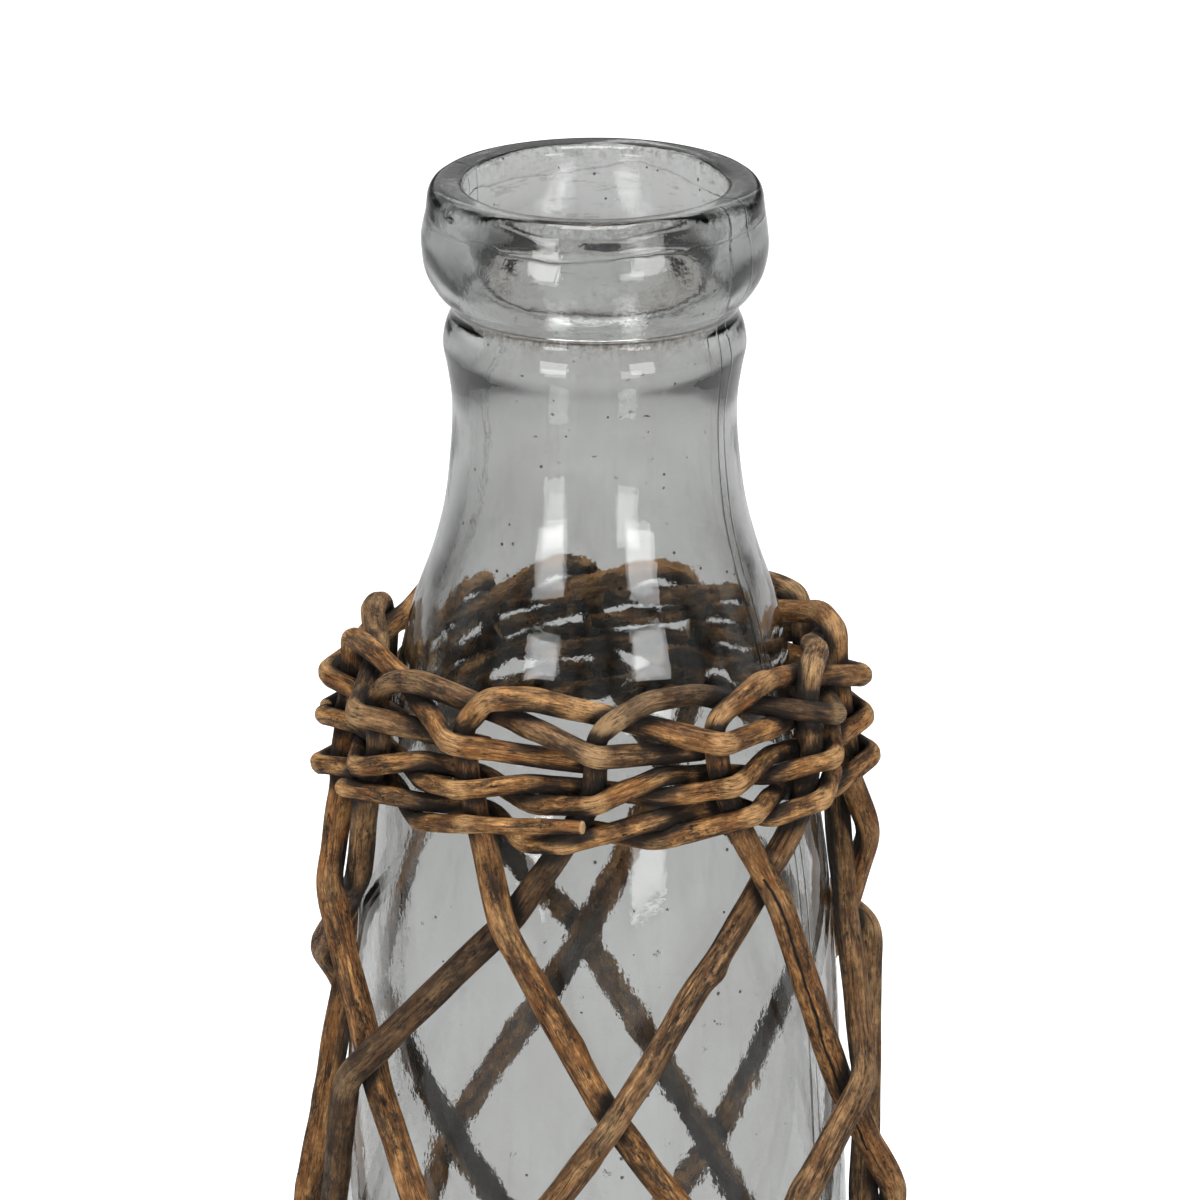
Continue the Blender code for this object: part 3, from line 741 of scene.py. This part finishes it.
def noiseAt(place, scale, detail, roughness, shift=0.0, distortion=0.0, **seed):
    # `seed` is empty, or W=... for a noise that is another one for each piece
    tree = treeOf(place)
    mapping = addNode(tree, "ShaderNodeMapping", {
        "Vector": place, "Scale": scale, "Location": (shift, shift * 1.7, shift * 0.6)},
        vector_type="POINT")
    return addNode(tree, "ShaderNodeTexNoise", {
        "Vector": mapping.outputs[0], "Scale": 1.0, "Detail": detail, "Roughness": roughness,
        "Distortion": distortion, **seed}, noise_dimensions="4D" if seed else "3D").outputs["Fac"]


def newGroup(name, inputs):
    # a group that makes a colour, a roughness and a height, from numbers, colours or, where the
    # first value is None, vectors
    tree = bpy.data.node_groups.new(name, "ShaderNodeTree")
    kinds = {float: "NodeSocketFloat", tuple: "NodeSocketColor", type(None): "NodeSocketVector"}
    for key, start in inputs.items():
        socket = tree.interface.new_socket(key, in_out="INPUT", socket_type=kinds[type(start)])
        if start is not None:
            socket.default_value = start
    for key, kind in (("Colour", "NodeSocketColor"), ("Roughness", "NodeSocketFloat"),
                      ("Height", "NodeSocketFloat")):
        tree.interface.new_socket(key, in_out="OUTPUT", socket_type=kind)
    return addNode(tree, "NodeGroupInput").outputs, addNode(tree, "NodeGroupOutput")


def newMaterial(name):
    material = bpy.data.materials.new(name)
    material.use_nodes = True
    tree = material.node_tree
    return material, tree, tree.nodes["Principled BSDF"]


def addSkin(tree, shader, group, values, depth):
    # a group's colour, roughness and height on the shader, the height as bumps `depth` high
    skin = addNode(tree, "ShaderNodeGroup", values, node_tree=group).outputs
    bump = addNode(tree, "ShaderNodeBump", {"Strength": 1.0, "Distance": depth, "Height": skin["Height"]})
    fillInputs(shader, {"Base Color": skin["Colour"], "Roughness": skin["Roughness"],
                        "Normal": bump.outputs[0]})


def seenAndInGlass(tree):
    # whether a ray comes straight from the camera, and whether by gloss or through glass
    path = addNode(tree, "ShaderNodeLightPath").outputs
    return path["Is Camera Ray"], mathNode("MAXIMUM", path["Is Glossy Ray"], path["Is Transmission Ray"])


def mixShaders(mask, first, second):
    return addNode(treeOf(mask), "ShaderNodeMixShader", {0: mask, 1: first, 2: second}).outputs[0]


# Willow finish

barkValues = dict(
    blotch=(0.018, 0.012, 0.008), crack=(0.008, 0.005, 0.003), speck=(0.010, 0.007, 0.004),
    # the darkest colour, for crevices, is painted shade where a rod touches another rod or the glass
    creviceShade=(0.012, 0.007, 0.004), split=(0.004, 0.003, 0.002), pith=(0.46, 0.27, 0.12),
    fibre=(0.68, 0.45, 0.23), splitHalf=(0.00016, 0.00032), splitSway=0.0030,
    bumps=0.00035, specular=0.34,
)


def willowBarkGroup():
    # weathered bark along a rod: long grain, dark blotches, pale worn places, thin cracks, specks
    given, result = newGroup("willowBark", {
        "Space": None, "Seed": 0.0, "Bark": (0.27, 0.13, 0.052, 1), "Worn": (0.50, 0.30, 0.15, 1),
        "Shade": (0.045, 0.026, 0.014, 1), "Cut": 0.0, "Bent": 0.0, "Crevice": 0.0,
        "Weathering": 0.5, "Split side": None, "Split face": None, "Split start": 0.0,
        "Split end": 0.0})
    space, worn, shade, weathering = [given[key] for key in ("Space", "Worn", "Shade", "Weathering")]

    def barkNoise(*settings):
        return noiseAt(space, *settings, W=given["Seed"])

    grain = barkNoise((620, 3800, 3800), 5.0, 0.78)
    streaks = barkNoise((130, 1500, 1500), 6.0, 0.72, 3.1)
    tone = barkNoise((60, 210, 210), 4.0, 0.62, 7.7)
    patches = barkNoise((110, 360, 360), 6.0, 0.7, 17.7)
    rubbed = barkNoise((170, 620, 620), 5.0, 0.68, 12.4)
    crackLine = barkNoise((42, 800, 800), 2.0, 0.5, 21.0, 0.4)
    specks = barkNoise((1150, 2300, 2300), 4.0, 0.7, 31.0)
    rings = barkNoise((800, 160, 160), 3.0, 0.6, 41.0)

    streakMask = times(ramp(streaks, (0.40, 0.97), (0.485, 0.0)), weathering)
    patchMask = times(ramp(patches, (0.41, 1.0), (0.46, 0.0)), ramp(grain, (0.42, 1.0), (0.66, 0.45)),
                      weathering)
    crackAway = mathNode("ABSOLUTE", mathNode("SUBTRACT", crackLine, 0.5))
    crackMask = times(ramp(crackAway, (0.0, 1.0), (0.019, 0.0)), ramp(tone, (0.48, 0.0), (0.56, 1.0)))
    speckMask = times(ramp(specks, (0.555, 0.0), (0.595, 1.0)), ramp(patches, (0.45, 1.0), (0.54, 0.12)))
    bentMask = mathNode("MULTIPLY", given["Bent"], ramp(grain, (0.40, 0.0), (0.56, 0.9)), clamp=True)
    # painted shade between neighbours, deeper in the hollows of the bark
    creviceShade = ramp(times(given["Crevice"], ramp(streaks, (0.35, 1.6), (0.65, 0.9))), (0.07, 0.0), (0.62, 0.97))
    endWood = blendColour(ramp(specks, (0.35, 0.0), (0.65, 1.0)), barkValues["pith"], barkValues["fibre"])
    # one long open split, on the side that it is turned to
    offLine = mathNode("ADD", dotProduct(space, given["Split side"]), sway(tone, barkValues["splitSway"]))
    alongRod = xyzOf(space)[0]
    splitMask = times(nearLine(offLine, *barkValues["splitHalf"]),
                      mathNode("GREATER_THAN", dotProduct(space, given["Split face"]), 0.0),
                      mathNode("GREATER_THAN", alongRod, given["Split start"]),
                      mathNode("LESS_THAN", alongRod, given["Split end"]),
                      ramp(rubbed, (0.36, 0.0), (0.42, 1.0)))
    colour = layColours(given["Bark"], (
        (ramp(tone, (0.38, 0.75), (0.56, 0.0)), shade),
        (ramp(rubbed, (0.46, 0.0), (0.64, 0.90)), worn),
        (1.0, ramp(grain, (0.30, 0.32), (0.50, 1.0), (0.68, 1.85)), "MULTIPLY"),
        (streakMask, shade),
        (ramp(streaks, (0.57, 0.0), (0.68, 0.90)), worn),
        (patchMask, barkValues["blotch"]),
        (crackMask, barkValues["crack"]),
        (speckMask, barkValues["speck"]),
        (bentMask, blendColour(0.35, worn, barkValues["fibre"])),
        (creviceShade, barkValues["creviceShade"]),
        (1.0, ramp(rings, (0.35, 0.78), (0.62, 1.05)), "MULTIPLY"),
        (given["Cut"], endWood),
        (splitMask, barkValues["split"]),
    ))
    rough = mathNode("ADD", ramp(rubbed, (0.38, 0.82), (0.64, 0.46)), times(crackMask, 0.2), clamp=True)
    height = weighted((streaks, 1.1), (grain, 0.5), (rings, 0.3), (crackMask, -1.0), (patchMask, -0.35),
                      (speckMask, -0.3), (splitMask, -2.0))
    fillInputs(result, {"Colour": colour, "Roughness": rough, "Height": height})
    return treeOf(space)


barkGroup = willowBarkGroup()


def willowFinish(name, bark, worn, shade, weathering, seed, split=None):
    material, tree, shader = newMaterial(name)
    values = {"Bark": (*bark, 1), "Worn": (*worn, 1), "Shade": (*shade, 1), "Weathering": weathering,
              "Seed": seed}
    for key, layer, output in (("Space", "rodSpace", "Vector"), ("Cut", "cutEnd", "Fac"),
                               ("Bent", "bentHere", "Fac"), ("Crevice", "crevice", "Fac")):
        values[key] = addNode(tree, "ShaderNodeAttribute", attribute_name=layer).outputs[output]
    if split:
        start, end, angle = split
        values.update({"Split start": start, "Split end": end,
                       "Split side": (0, -math.sin(angle), math.cos(angle)),
                       "Split face": (0, math.cos(angle), math.sin(angle))})
    addSkin(tree, shader, barkGroup, values, barkValues["bumps"])
    fillInputs(shader, {"Specular IOR Level": barkValues["specular"]})
    return material


willowColours = dict(
    brown=dict(bark=(0.225, 0.089, 0.023), worn=(0.500, 0.254, 0.084), shade=(0.030, 0.015, 0.006),
               weathering=0.85),
    grey=dict(bark=(0.185, 0.088, 0.032), worn=(0.420, 0.234, 0.096), shade=(0.026, 0.015, 0.008),
              weathering=0.95),
    weaver=dict(bark=(0.250, 0.102, 0.026), worn=(0.560, 0.294, 0.100), shade=(0.034, 0.017, 0.007),
                weathering=0.80),
    base=dict(bark=(0.25, 0.120, 0.044), worn=(0.50, 0.30, 0.135), shade=(0.05, 0.026, 0.012),
              weathering=0.6),
)
# how light each upright is, against the others of its hand
uprightShades = {0: 0.40, 1: 0.92, 2: 0.94, 9: 0.95, 10: 0.78, 11: 0.95}
usualShade = 0.86


# Glass finish

glassValues = dict(
    tint=(0.835, 0.842, 0.839), specular=0.60, depthColour=(0.50, 0.53, 0.52), depthDensity=42.0,
    shadow=(0.95, 0.96, 0.955), index=1.5, bumps=0.00011,
    seam=glassTop - 0.0060, seamFrom=0.0275, groove=grooveLevel, rim=glassTop - 0.0006,
    # half the width of each line round the glass, and how far it strays
    seamLine=(0.00030, 0.0060), grooveLine=(0.0011, 0.0016), rimLine=(0.0015, 0.0), lipSteepness=300.0,
    mouldSide=64.0, mouldHalf=(0.00012, 0.00034), mouldSway=0.0010,
    seeds=((170.0, 0.66, 0.16), (420.0, 0.80, 0.75)),
    cloud=(0.50, 0.47, 0.42), run=(0.66, 0.65, 0.63), grooveDirt=(0.22, 0.14, 0.08),
    rimDirt=(0.16, 0.15, 0.14), lipDirt=(0.20, 0.19, 0.18), seamDirt=(0.08, 0.075, 0.07),
    seed=(0.06, 0.055, 0.05), mouldSeamPaintedDark=(0.10, 0.11, 0.12),
)


def glassSkinGroup():
    # old pressed glass: a seam round the lip, grime in the groove and on the rim, seeds, faint
    # clouds and an uneven surface, which is rougher on the lip
    given, result = newGroup("glassSkin", {
        "Place": None, "Tint": (0.7, 0.7, 0.7, 1), "Seam height": 0.0, "Groove height": 0.0,
        "Rim height": 0.0, "Mould way": None})
    place = given["Place"]
    tree = treeOf(place)
    x, y, level = xyzOf(place)
    slow = noiseAt(place, (42, 42, 60), 3.0, 0.55, 2.0)
    peel = noiseAt(place, (900, 900, 620), 3.0, 0.6, 5.0)
    ripple = noiseAt(place, (300, 300, 210), 4.0, 0.55, 9.0)
    mottle = noiseAt(place, (760, 760, 760), 5.0, 0.75, 14.0)
    clouds = noiseAt(place, (60, 60, 34), 5.0, 0.6, 20.0)
    runs = noiseAt(place, (420, 420, 16), 3.0, 0.6, 27.0)
    smears = noiseAt(place, (150, 150, 700), 5.0, 0.7, 33.0)

    def ridge(centre, width, drift):
        # 1 on the line and falling off to both sides: 1 / (1 + away^2)
        moved = mathNode("ADD", mathNode("SUBTRACT", level, given[centre]), sway(slow, drift))
        away = mathNode("DIVIDE", moved, width)
        return mathNode("DIVIDE", 1.0, mathNode("MULTIPLY_ADD", away, away, 1.0))

    inLip = mathNode("MULTIPLY", mathNode("SUBTRACT", level, given["Groove height"]),
                     glassValues["lipSteepness"], clamp=True)
    # the lip's seam is on the outside only
    wide = mathNode("ADD", times(x, x), times(y, y))
    outside = mathNode("GREATER_THAN", wide, glassValues["seamFrom"]**2)
    seam = times(ridge("Seam height", *glassValues["seamLine"]), outside)
    # the mould's own seam, up one side and down the other: a real ridge, with a painted dark line of
    # refraction along it
    offSeam = mathNode("ADD", dotProduct(place, given["Mould way"]), sway(clouds, glassValues["mouldSway"]))
    mouldSeamPaintedDark = times(nearLine(offSeam, *glassValues["mouldHalf"]), ramp(runs, (0.40, 0.35), (0.55, 1.0)))
    grooveDirt = times(ridge("Groove height", *glassValues["grooveLine"]),
                       ramp(mottle, (0.42, 0.0), (0.62, 0.95)))
    rimDirt = times(ridge("Rim height", *glassValues["rimLine"]), ramp(mottle, (0.48, 0.0), (0.60, 0.70)))
    lipDirt = times(inLip, ramp(smears, (0.58, 0.0), (0.68, 0.60)))
    seamDirt = times(ramp(seam, (0.55, 0.0), (0.90, 0.45)), ramp(mottle, (0.36, 0.3), (0.50, 1.0)))
    # seeds: in a part of the cells, a dot whose size the cell's own number gives
    seeds = 0.0
    for scale, least, size in glassValues["seeds"]:
        cells = addNode(tree, "ShaderNodeTexVoronoi", {
            "Scale": scale, "Randomness": 1.0, "Vector": place}).outputs
        number = addNode(tree, "ShaderNodeSeparateColor", {0: cells["Color"]}).outputs[0]
        reach = times(mathNode("SUBTRACT", number, least), size)
        seeds = mathNode("MAXIMUM", mathNode("LESS_THAN", cells["Distance"], reach), seeds)
    colour = layColours(given["Tint"], (
        (ramp(clouds, (0.42, 0.16), (0.62, 0.0)), glassValues["cloud"]),
        (ramp(runs, (0.56, 0.0), (0.70, 0.30)), glassValues["run"]),
        (grooveDirt, glassValues["grooveDirt"]),
        (rimDirt, glassValues["rimDirt"]),
        (lipDirt, glassValues["lipDirt"]),
        (seamDirt, glassValues["seamDirt"]),
        (seeds, glassValues["seed"]),
        # painted dark refraction along the mould seam
        (times(mouldSeamPaintedDark, 0.75), glassValues["mouldSeamPaintedDark"]),
    ))
    rough = times(mathNode("MAXIMUM", grooveDirt, rimDirt), 0.25)
    height = weighted((ripple, 0.35), (slow, 0.8), (times(peel, inLip), 0.30), (seam, 0.7), (mouldSeamPaintedDark, 0.5),
                      (seeds, -0.3))
    fillInputs(result, {"Colour": colour, "Roughness": rough, "Height": height})
    return tree


def glassFinish():
    material, tree, shader = newMaterial("clearGlass")
    grey = glassValues["specular"]
    fillInputs(shader, {"IOR": glassValues["index"], "Specular Tint": (grey, grey, grey, 1),
                        "Transmission Weight": 1.0, "Metallic": 0.0})
    addSkin(tree, shader, glassSkinGroup(), {
        "Tint": (*glassValues["tint"], 1), "Seam height": glassValues["seam"],
        "Groove height": glassValues["groove"], "Rim height": glassValues["rim"],
        "Mould way": around(glassValues["mouldSide"] + 90.0, 1.0, 0.0),
        "Place": addNode(tree, "ShaderNodeTexCoord").outputs["Object"],
    }, glassValues["bumps"])
    clear = addNode(tree, "ShaderNodeBsdfTransparent", {"Color": (*glassValues["shadow"], 1)})
    inShadow = addNode(tree, "ShaderNodeLightPath").outputs["Is Shadow Ray"]
    # the glass darkens where it is thick
    depth = addNode(tree, "ShaderNodeVolumeAbsorption", {
        "Color": (*glassValues["depthColour"], 1), "Density": glassValues["depthDensity"]})
    fillInputs(tree.nodes["Material Output"], {
        "Surface": mixShaders(inShadow, shader.outputs[0], clear.outputs[0]), "Volume": depth.outputs[0]})
    return material


# Making the pieces

splitEnds = (0.126, 0.186, -2.0)  # of upright 2: from and to what height, and the side it faces
# torn fibres at the border, by upright: angle, and how far out and up from the border's circle
tornPlaces = {0: (2.0, 0.0020, 0.0075), 11: (-1.5, -0.0015, 0.0080)}
tornSize = 0.0042
thinRun = 0.024  # over which a weaver grows thinner towards its end
thinEnd = 0.74
firstSeeds = dict(upright=100, collar=400, foot=500, stick=600, coil=700)  # and 10 more for each rod
rodSides = dict(twined=20, stick=16, coil=14)


def splitPlace(name, low, high, facing):
    # the split in the rod's own measure: start, end and angle round it
    rod = rodPaths[name]
    climbing = slice(len(rod["path"]) // 4, int(np.argmax(rod["path"][:, 2])))
    start, end = np.interp([low, high], rod["path"][climbing, 2], rod["along"][climbing])
    middle = int(np.searchsorted(rod["along"], (start + end) / 2))
    way = around(facing, 1.0, 0.0)
    return float(start), float(end), math.atan2(rod["upward"][middle] @ way, rod["across"][middle] @ way)


def carryOver(piece, node, material):
    # a finished piece takes the place of its solid
    piece.data.materials.append(material)
    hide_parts(node)
    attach(piece, "root")


carryOver(makeBottle(), "bottle", glassFinish())
print("glass bottle made")

for index in range(stakeCount):
    hue = "brown" if hand(index) > 0 else "grey"
    shade = uprightShades.get(index, usualShade)
    colours = {key: tuple(shade * part for part in value) if key in ("bark", "worn") else value
               for key, value in willowColours[hue].items()}
    torn = []
    if index in tornPlaces:
        degrees, out, high = tornPlaces[index]
        torn = [(around(degrees, borderRadius + out, borderLevel + high), tornSize)]
    name = f"upright{index + 1:02d}"
    rod = makeRod(name, *stakeRoute(index), seed=firstSeeds["upright"] + 10 * index, torn=torn)
    split = splitPlace(name, *splitEnds) if index == 1 else None
    finish = willowFinish(f"willowUpright{index + 1:02d}", **colours, seed=3.7 * index + 1.0, split=split)
    carryOver(rod, f"stake_{index + 1:02d}", finish)
print("uprights and border made")

for group, rows, upright, strays, tails in (
        ("collar", collarRows, stakeCollar, twineValues["strays"], twineValues["tails"]),
        ("foot", footRows, stakeBase, {}, {})):
    for number in range(2 * len(rows)):
        row, second = divmod(number, 2)
        start = cover["rowStart"] * row + cover["pairStart"] * second
        line = ringRoute(rows[row], row, upright, start, strays, tails)
        seed = firstSeeds[group] + 10 * number
        finish = willowFinish(f"willow{group.title()}{number + 1}", **willowColours["weaver"],
                              seed=seed * 0.13)
        along = lengthsAlong(line)
        thin = np.interp(along[-1] - along, [0, thinRun], [thinEnd, 1.0])
        rod = makeRod(f"{group}Weaver{number + 1}", line, weaver * thin, seed, rodSides["twined"],
                      wobble=0.8, slants=(0.3, 0.1))
        carryOver(rod, f"{group}_weaver_{number + 1}", finish)
print("twined rows made")

baseTurn = float(stakeAngle(0, footTop))
baseFinish = willowFinish("willowBase", **willowColours["base"], seed=51.0)
for number in range(2 * sticksEachWay):
    across, side = divmod(number, sticksEachWay)
    line = stickRoute(side - (sticksEachWay - 1) / 2, across, baseTurn)
    rod = makeRod(f"baseStick{number + 1}", line, stick, firstSeeds["stick"] + 10 * number,
                  rodSides["stick"])
    carryOver(rod, f"base_stick_{number + 1}", baseFinish)
for number in range(2):
    line = smoothLine(coilRoute(number, baseTurn), 2)
    rod = makeRod(f"baseWeaver{number + 1}", line, baseWeaver, firstSeeds["coil"] + 10 * number,
                  rodSides["coil"], wobble=0.5)
    carryOver(rod, f"base_weaver_{number + 1}", baseFinish)
# the rods are darkened where they touch each other or the glass: painted shade
addCreviceShade()
print("base made, dirt laid in the crevices")


# Floor, light and camera

floorValues = dict(half=3.0, colour=0.60, glow=0.72, glowInGlass=0.09, aside=0.78, roughness=0.9,
                   specular=0.1)


def paleFloor():
    # lit up for the camera, in gloss and through glass, so that it is white and still takes a shadow;
    # in glass only the part behind the object is as pale, and the table is dimmer all round it
    material, tree, shader = newMaterial("paleFloor")
    seen, inGlass = seenAndInGlass(tree)
    x, y, _ = xyzOf(addNode(tree, "ShaderNodeTexCoord").outputs["Object"])
    behind = ramp(mathNode("ADD", y, 0.5), (0.45, 0.0), (0.65, 1.0))
    inLine = ramp(mathNode("ABSOLUTE", x), (0.35, 1.0), (0.90, 0.0))
    pale = ramp(times(behind, inLine), (0.0, floorValues["aside"]), (1.0, 1.0))
    glow = weighted((seen, floorValues["glow"]), (inGlass, times(pale, floorValues["glowInGlass"])))
    grey = (floorValues["colour"],) * 3
    colour = blendColour(inGlass, grey, blendColour(1.0, grey, pale, "MULTIPLY"))
    fillInputs(shader, {"Roughness": floorValues["roughness"], "Emission Color": (1, 1, 1, 1),
                        "Specular IOR Level": floorValues["specular"], "Emission Strength": glow,
                        "Base Color": colour})
    return material


half = floorValues["half"]
corners = np.array([(-half, -half, 0), (half, -half, 0), (half, half, 0), (-half, half, 0)])
floor = makeMesh("floor", corners, np.array([(0, 1, 2, 3)]))
floor.data.materials.append(paleFloor())

worldValues = dict(sky=0.12, seen=1.0, room=0.10, roomGrey=0.8)


def makeWorld():
    # gloss and glass show a pale backdrop behind the object, which begins a little above the far
    # edge of the table, and a dim room elsewhere
    world = bpy.data.worlds.new("studio")
    bpy.context.scene.world = world
    world.use_nodes = True
    tree = world.node_tree

    def shine(strength, grey=1.0):
        return addNode(tree, "ShaderNodeBackground", {
            "Color": (grey, grey, grey, 1), "Strength": strength}).outputs[0]

    _, y, z = xyzOf(addNode(tree, "ShaderNodeTexCoord").outputs["Generated"])
    behind = ramp(mathNode("MULTIPLY_ADD", y, 0.5, 0.5), (0.50, 0.0), (0.64, 0.86))
    raised = ramp(mathNode("MULTIPLY_ADD", z, 0.5, 0.5), (0.53, 0.0), (0.58, 1.0), (0.80, 0.9),
                  (0.92, 0.3))
    room = shine(mathNode("MULTIPLY_ADD", behind, raised, worldValues["room"]), worldValues["roomGrey"])
    seen, inGlass = seenAndInGlass(tree)
    unseen = mixShaders(inGlass, shine(worldValues["sky"]), room)
    fillInputs(tree.nodes["World Output"], {
        "Surface": mixShaders(seen, unseen, shine(worldValues["seen"]))})


makeWorld()


def aimAt(item, target):
    # turns a lamp or camera, which look down their own z axis, to the target
    way = np.array(target, float) - np.array(item.location)
    item.rotation_euler = (math.atan2(math.hypot(way[0], way[1]), -way[2]), 0,
                           math.atan2(way[1], way[0]) - math.pi / 2)


def softLamp(name, place, target, size, power):
    lamp = bpy.data.lights.new(name, "AREA")
    lamp.shape = "RECTANGLE"
    lamp.size, lamp.size_y = size
    lamp.energy = power
    item = bpy.data.objects.new(name, lamp)
    item.location = place
    bpy.context.scene.collection.objects.link(item)
    aimAt(item, target)
    return item


# two lamps to a side, each given by the directions it fills as seen from the neck of the bottle:
# degrees round from the front, degrees up, distance and brightness
neckPlace = np.array([0, 0, 0.24])
sideLamps = dict(
    leftLow=((-39.5, -23.5), (-7.0, 5.0), 1.76, 6.0),
    leftHigh=((-43.0, -23.0), (-1.5, 16.5), 1.70, 9.0),
    rightLow=((17.5, 33.5), (-7.0, 5.5), 1.76, 6.0),
    rightHigh=((25.0, 46.0), (-1.0, 17.5), 1.70, 9.0),
)
for name, (sideways, upwards, distance, brightness) in sideLamps.items():
    turn, rise = np.radians(np.mean([sideways, upwards], axis=1))
    width, height = 2 * distance * np.tan(np.radians(np.ptp([sideways, upwards], axis=1) / 2))
    way = np.array([math.cos(rise) * math.sin(turn), -math.cos(rise) * math.cos(turn), math.sin(rise)])
    place = neckPlace + distance * way
    softLamp(name, place, neckPlace, (width, height), brightness * math.pi * width * height)
softLamp("topLamp", (0.0, -0.35, 1.9), (0, 0, 0.15), (1.0, 1.0), 34)
rearLamp = softLamp("rearLamp", (0.4, 1.6, 1.2), (0, 0, 0.2), (1.0, 1.0), 12)
rearLamp.visible_glossy = rearLamp.visible_transmission = False

cameraValues = dict(place=(0, -1.9, 0.842), target=(0.0009, 0, 0.2256), sensor=36.0, farthest=50.0,
                    focalLength=10990 / 1200)  # in widths of the picture
cameraData = bpy.data.cameras.new("camera")
cameraData.sensor_width = cameraValues["sensor"]
cameraData.lens = cameraValues["focalLength"] * cameraValues["sensor"]
cameraData.clip_end = cameraValues["farthest"]
camera = bpy.data.objects.new("camera", cameraData)
camera.location = cameraValues["place"]
bpy.context.scene.collection.objects.link(camera)
aimAt(camera, cameraValues["target"])
bpy.context.scene.camera = camera
bpy.context.scene.view_settings.view_transform = "Standard"
print("stage, lights and camera made")

bpy.context.view_layer.update()
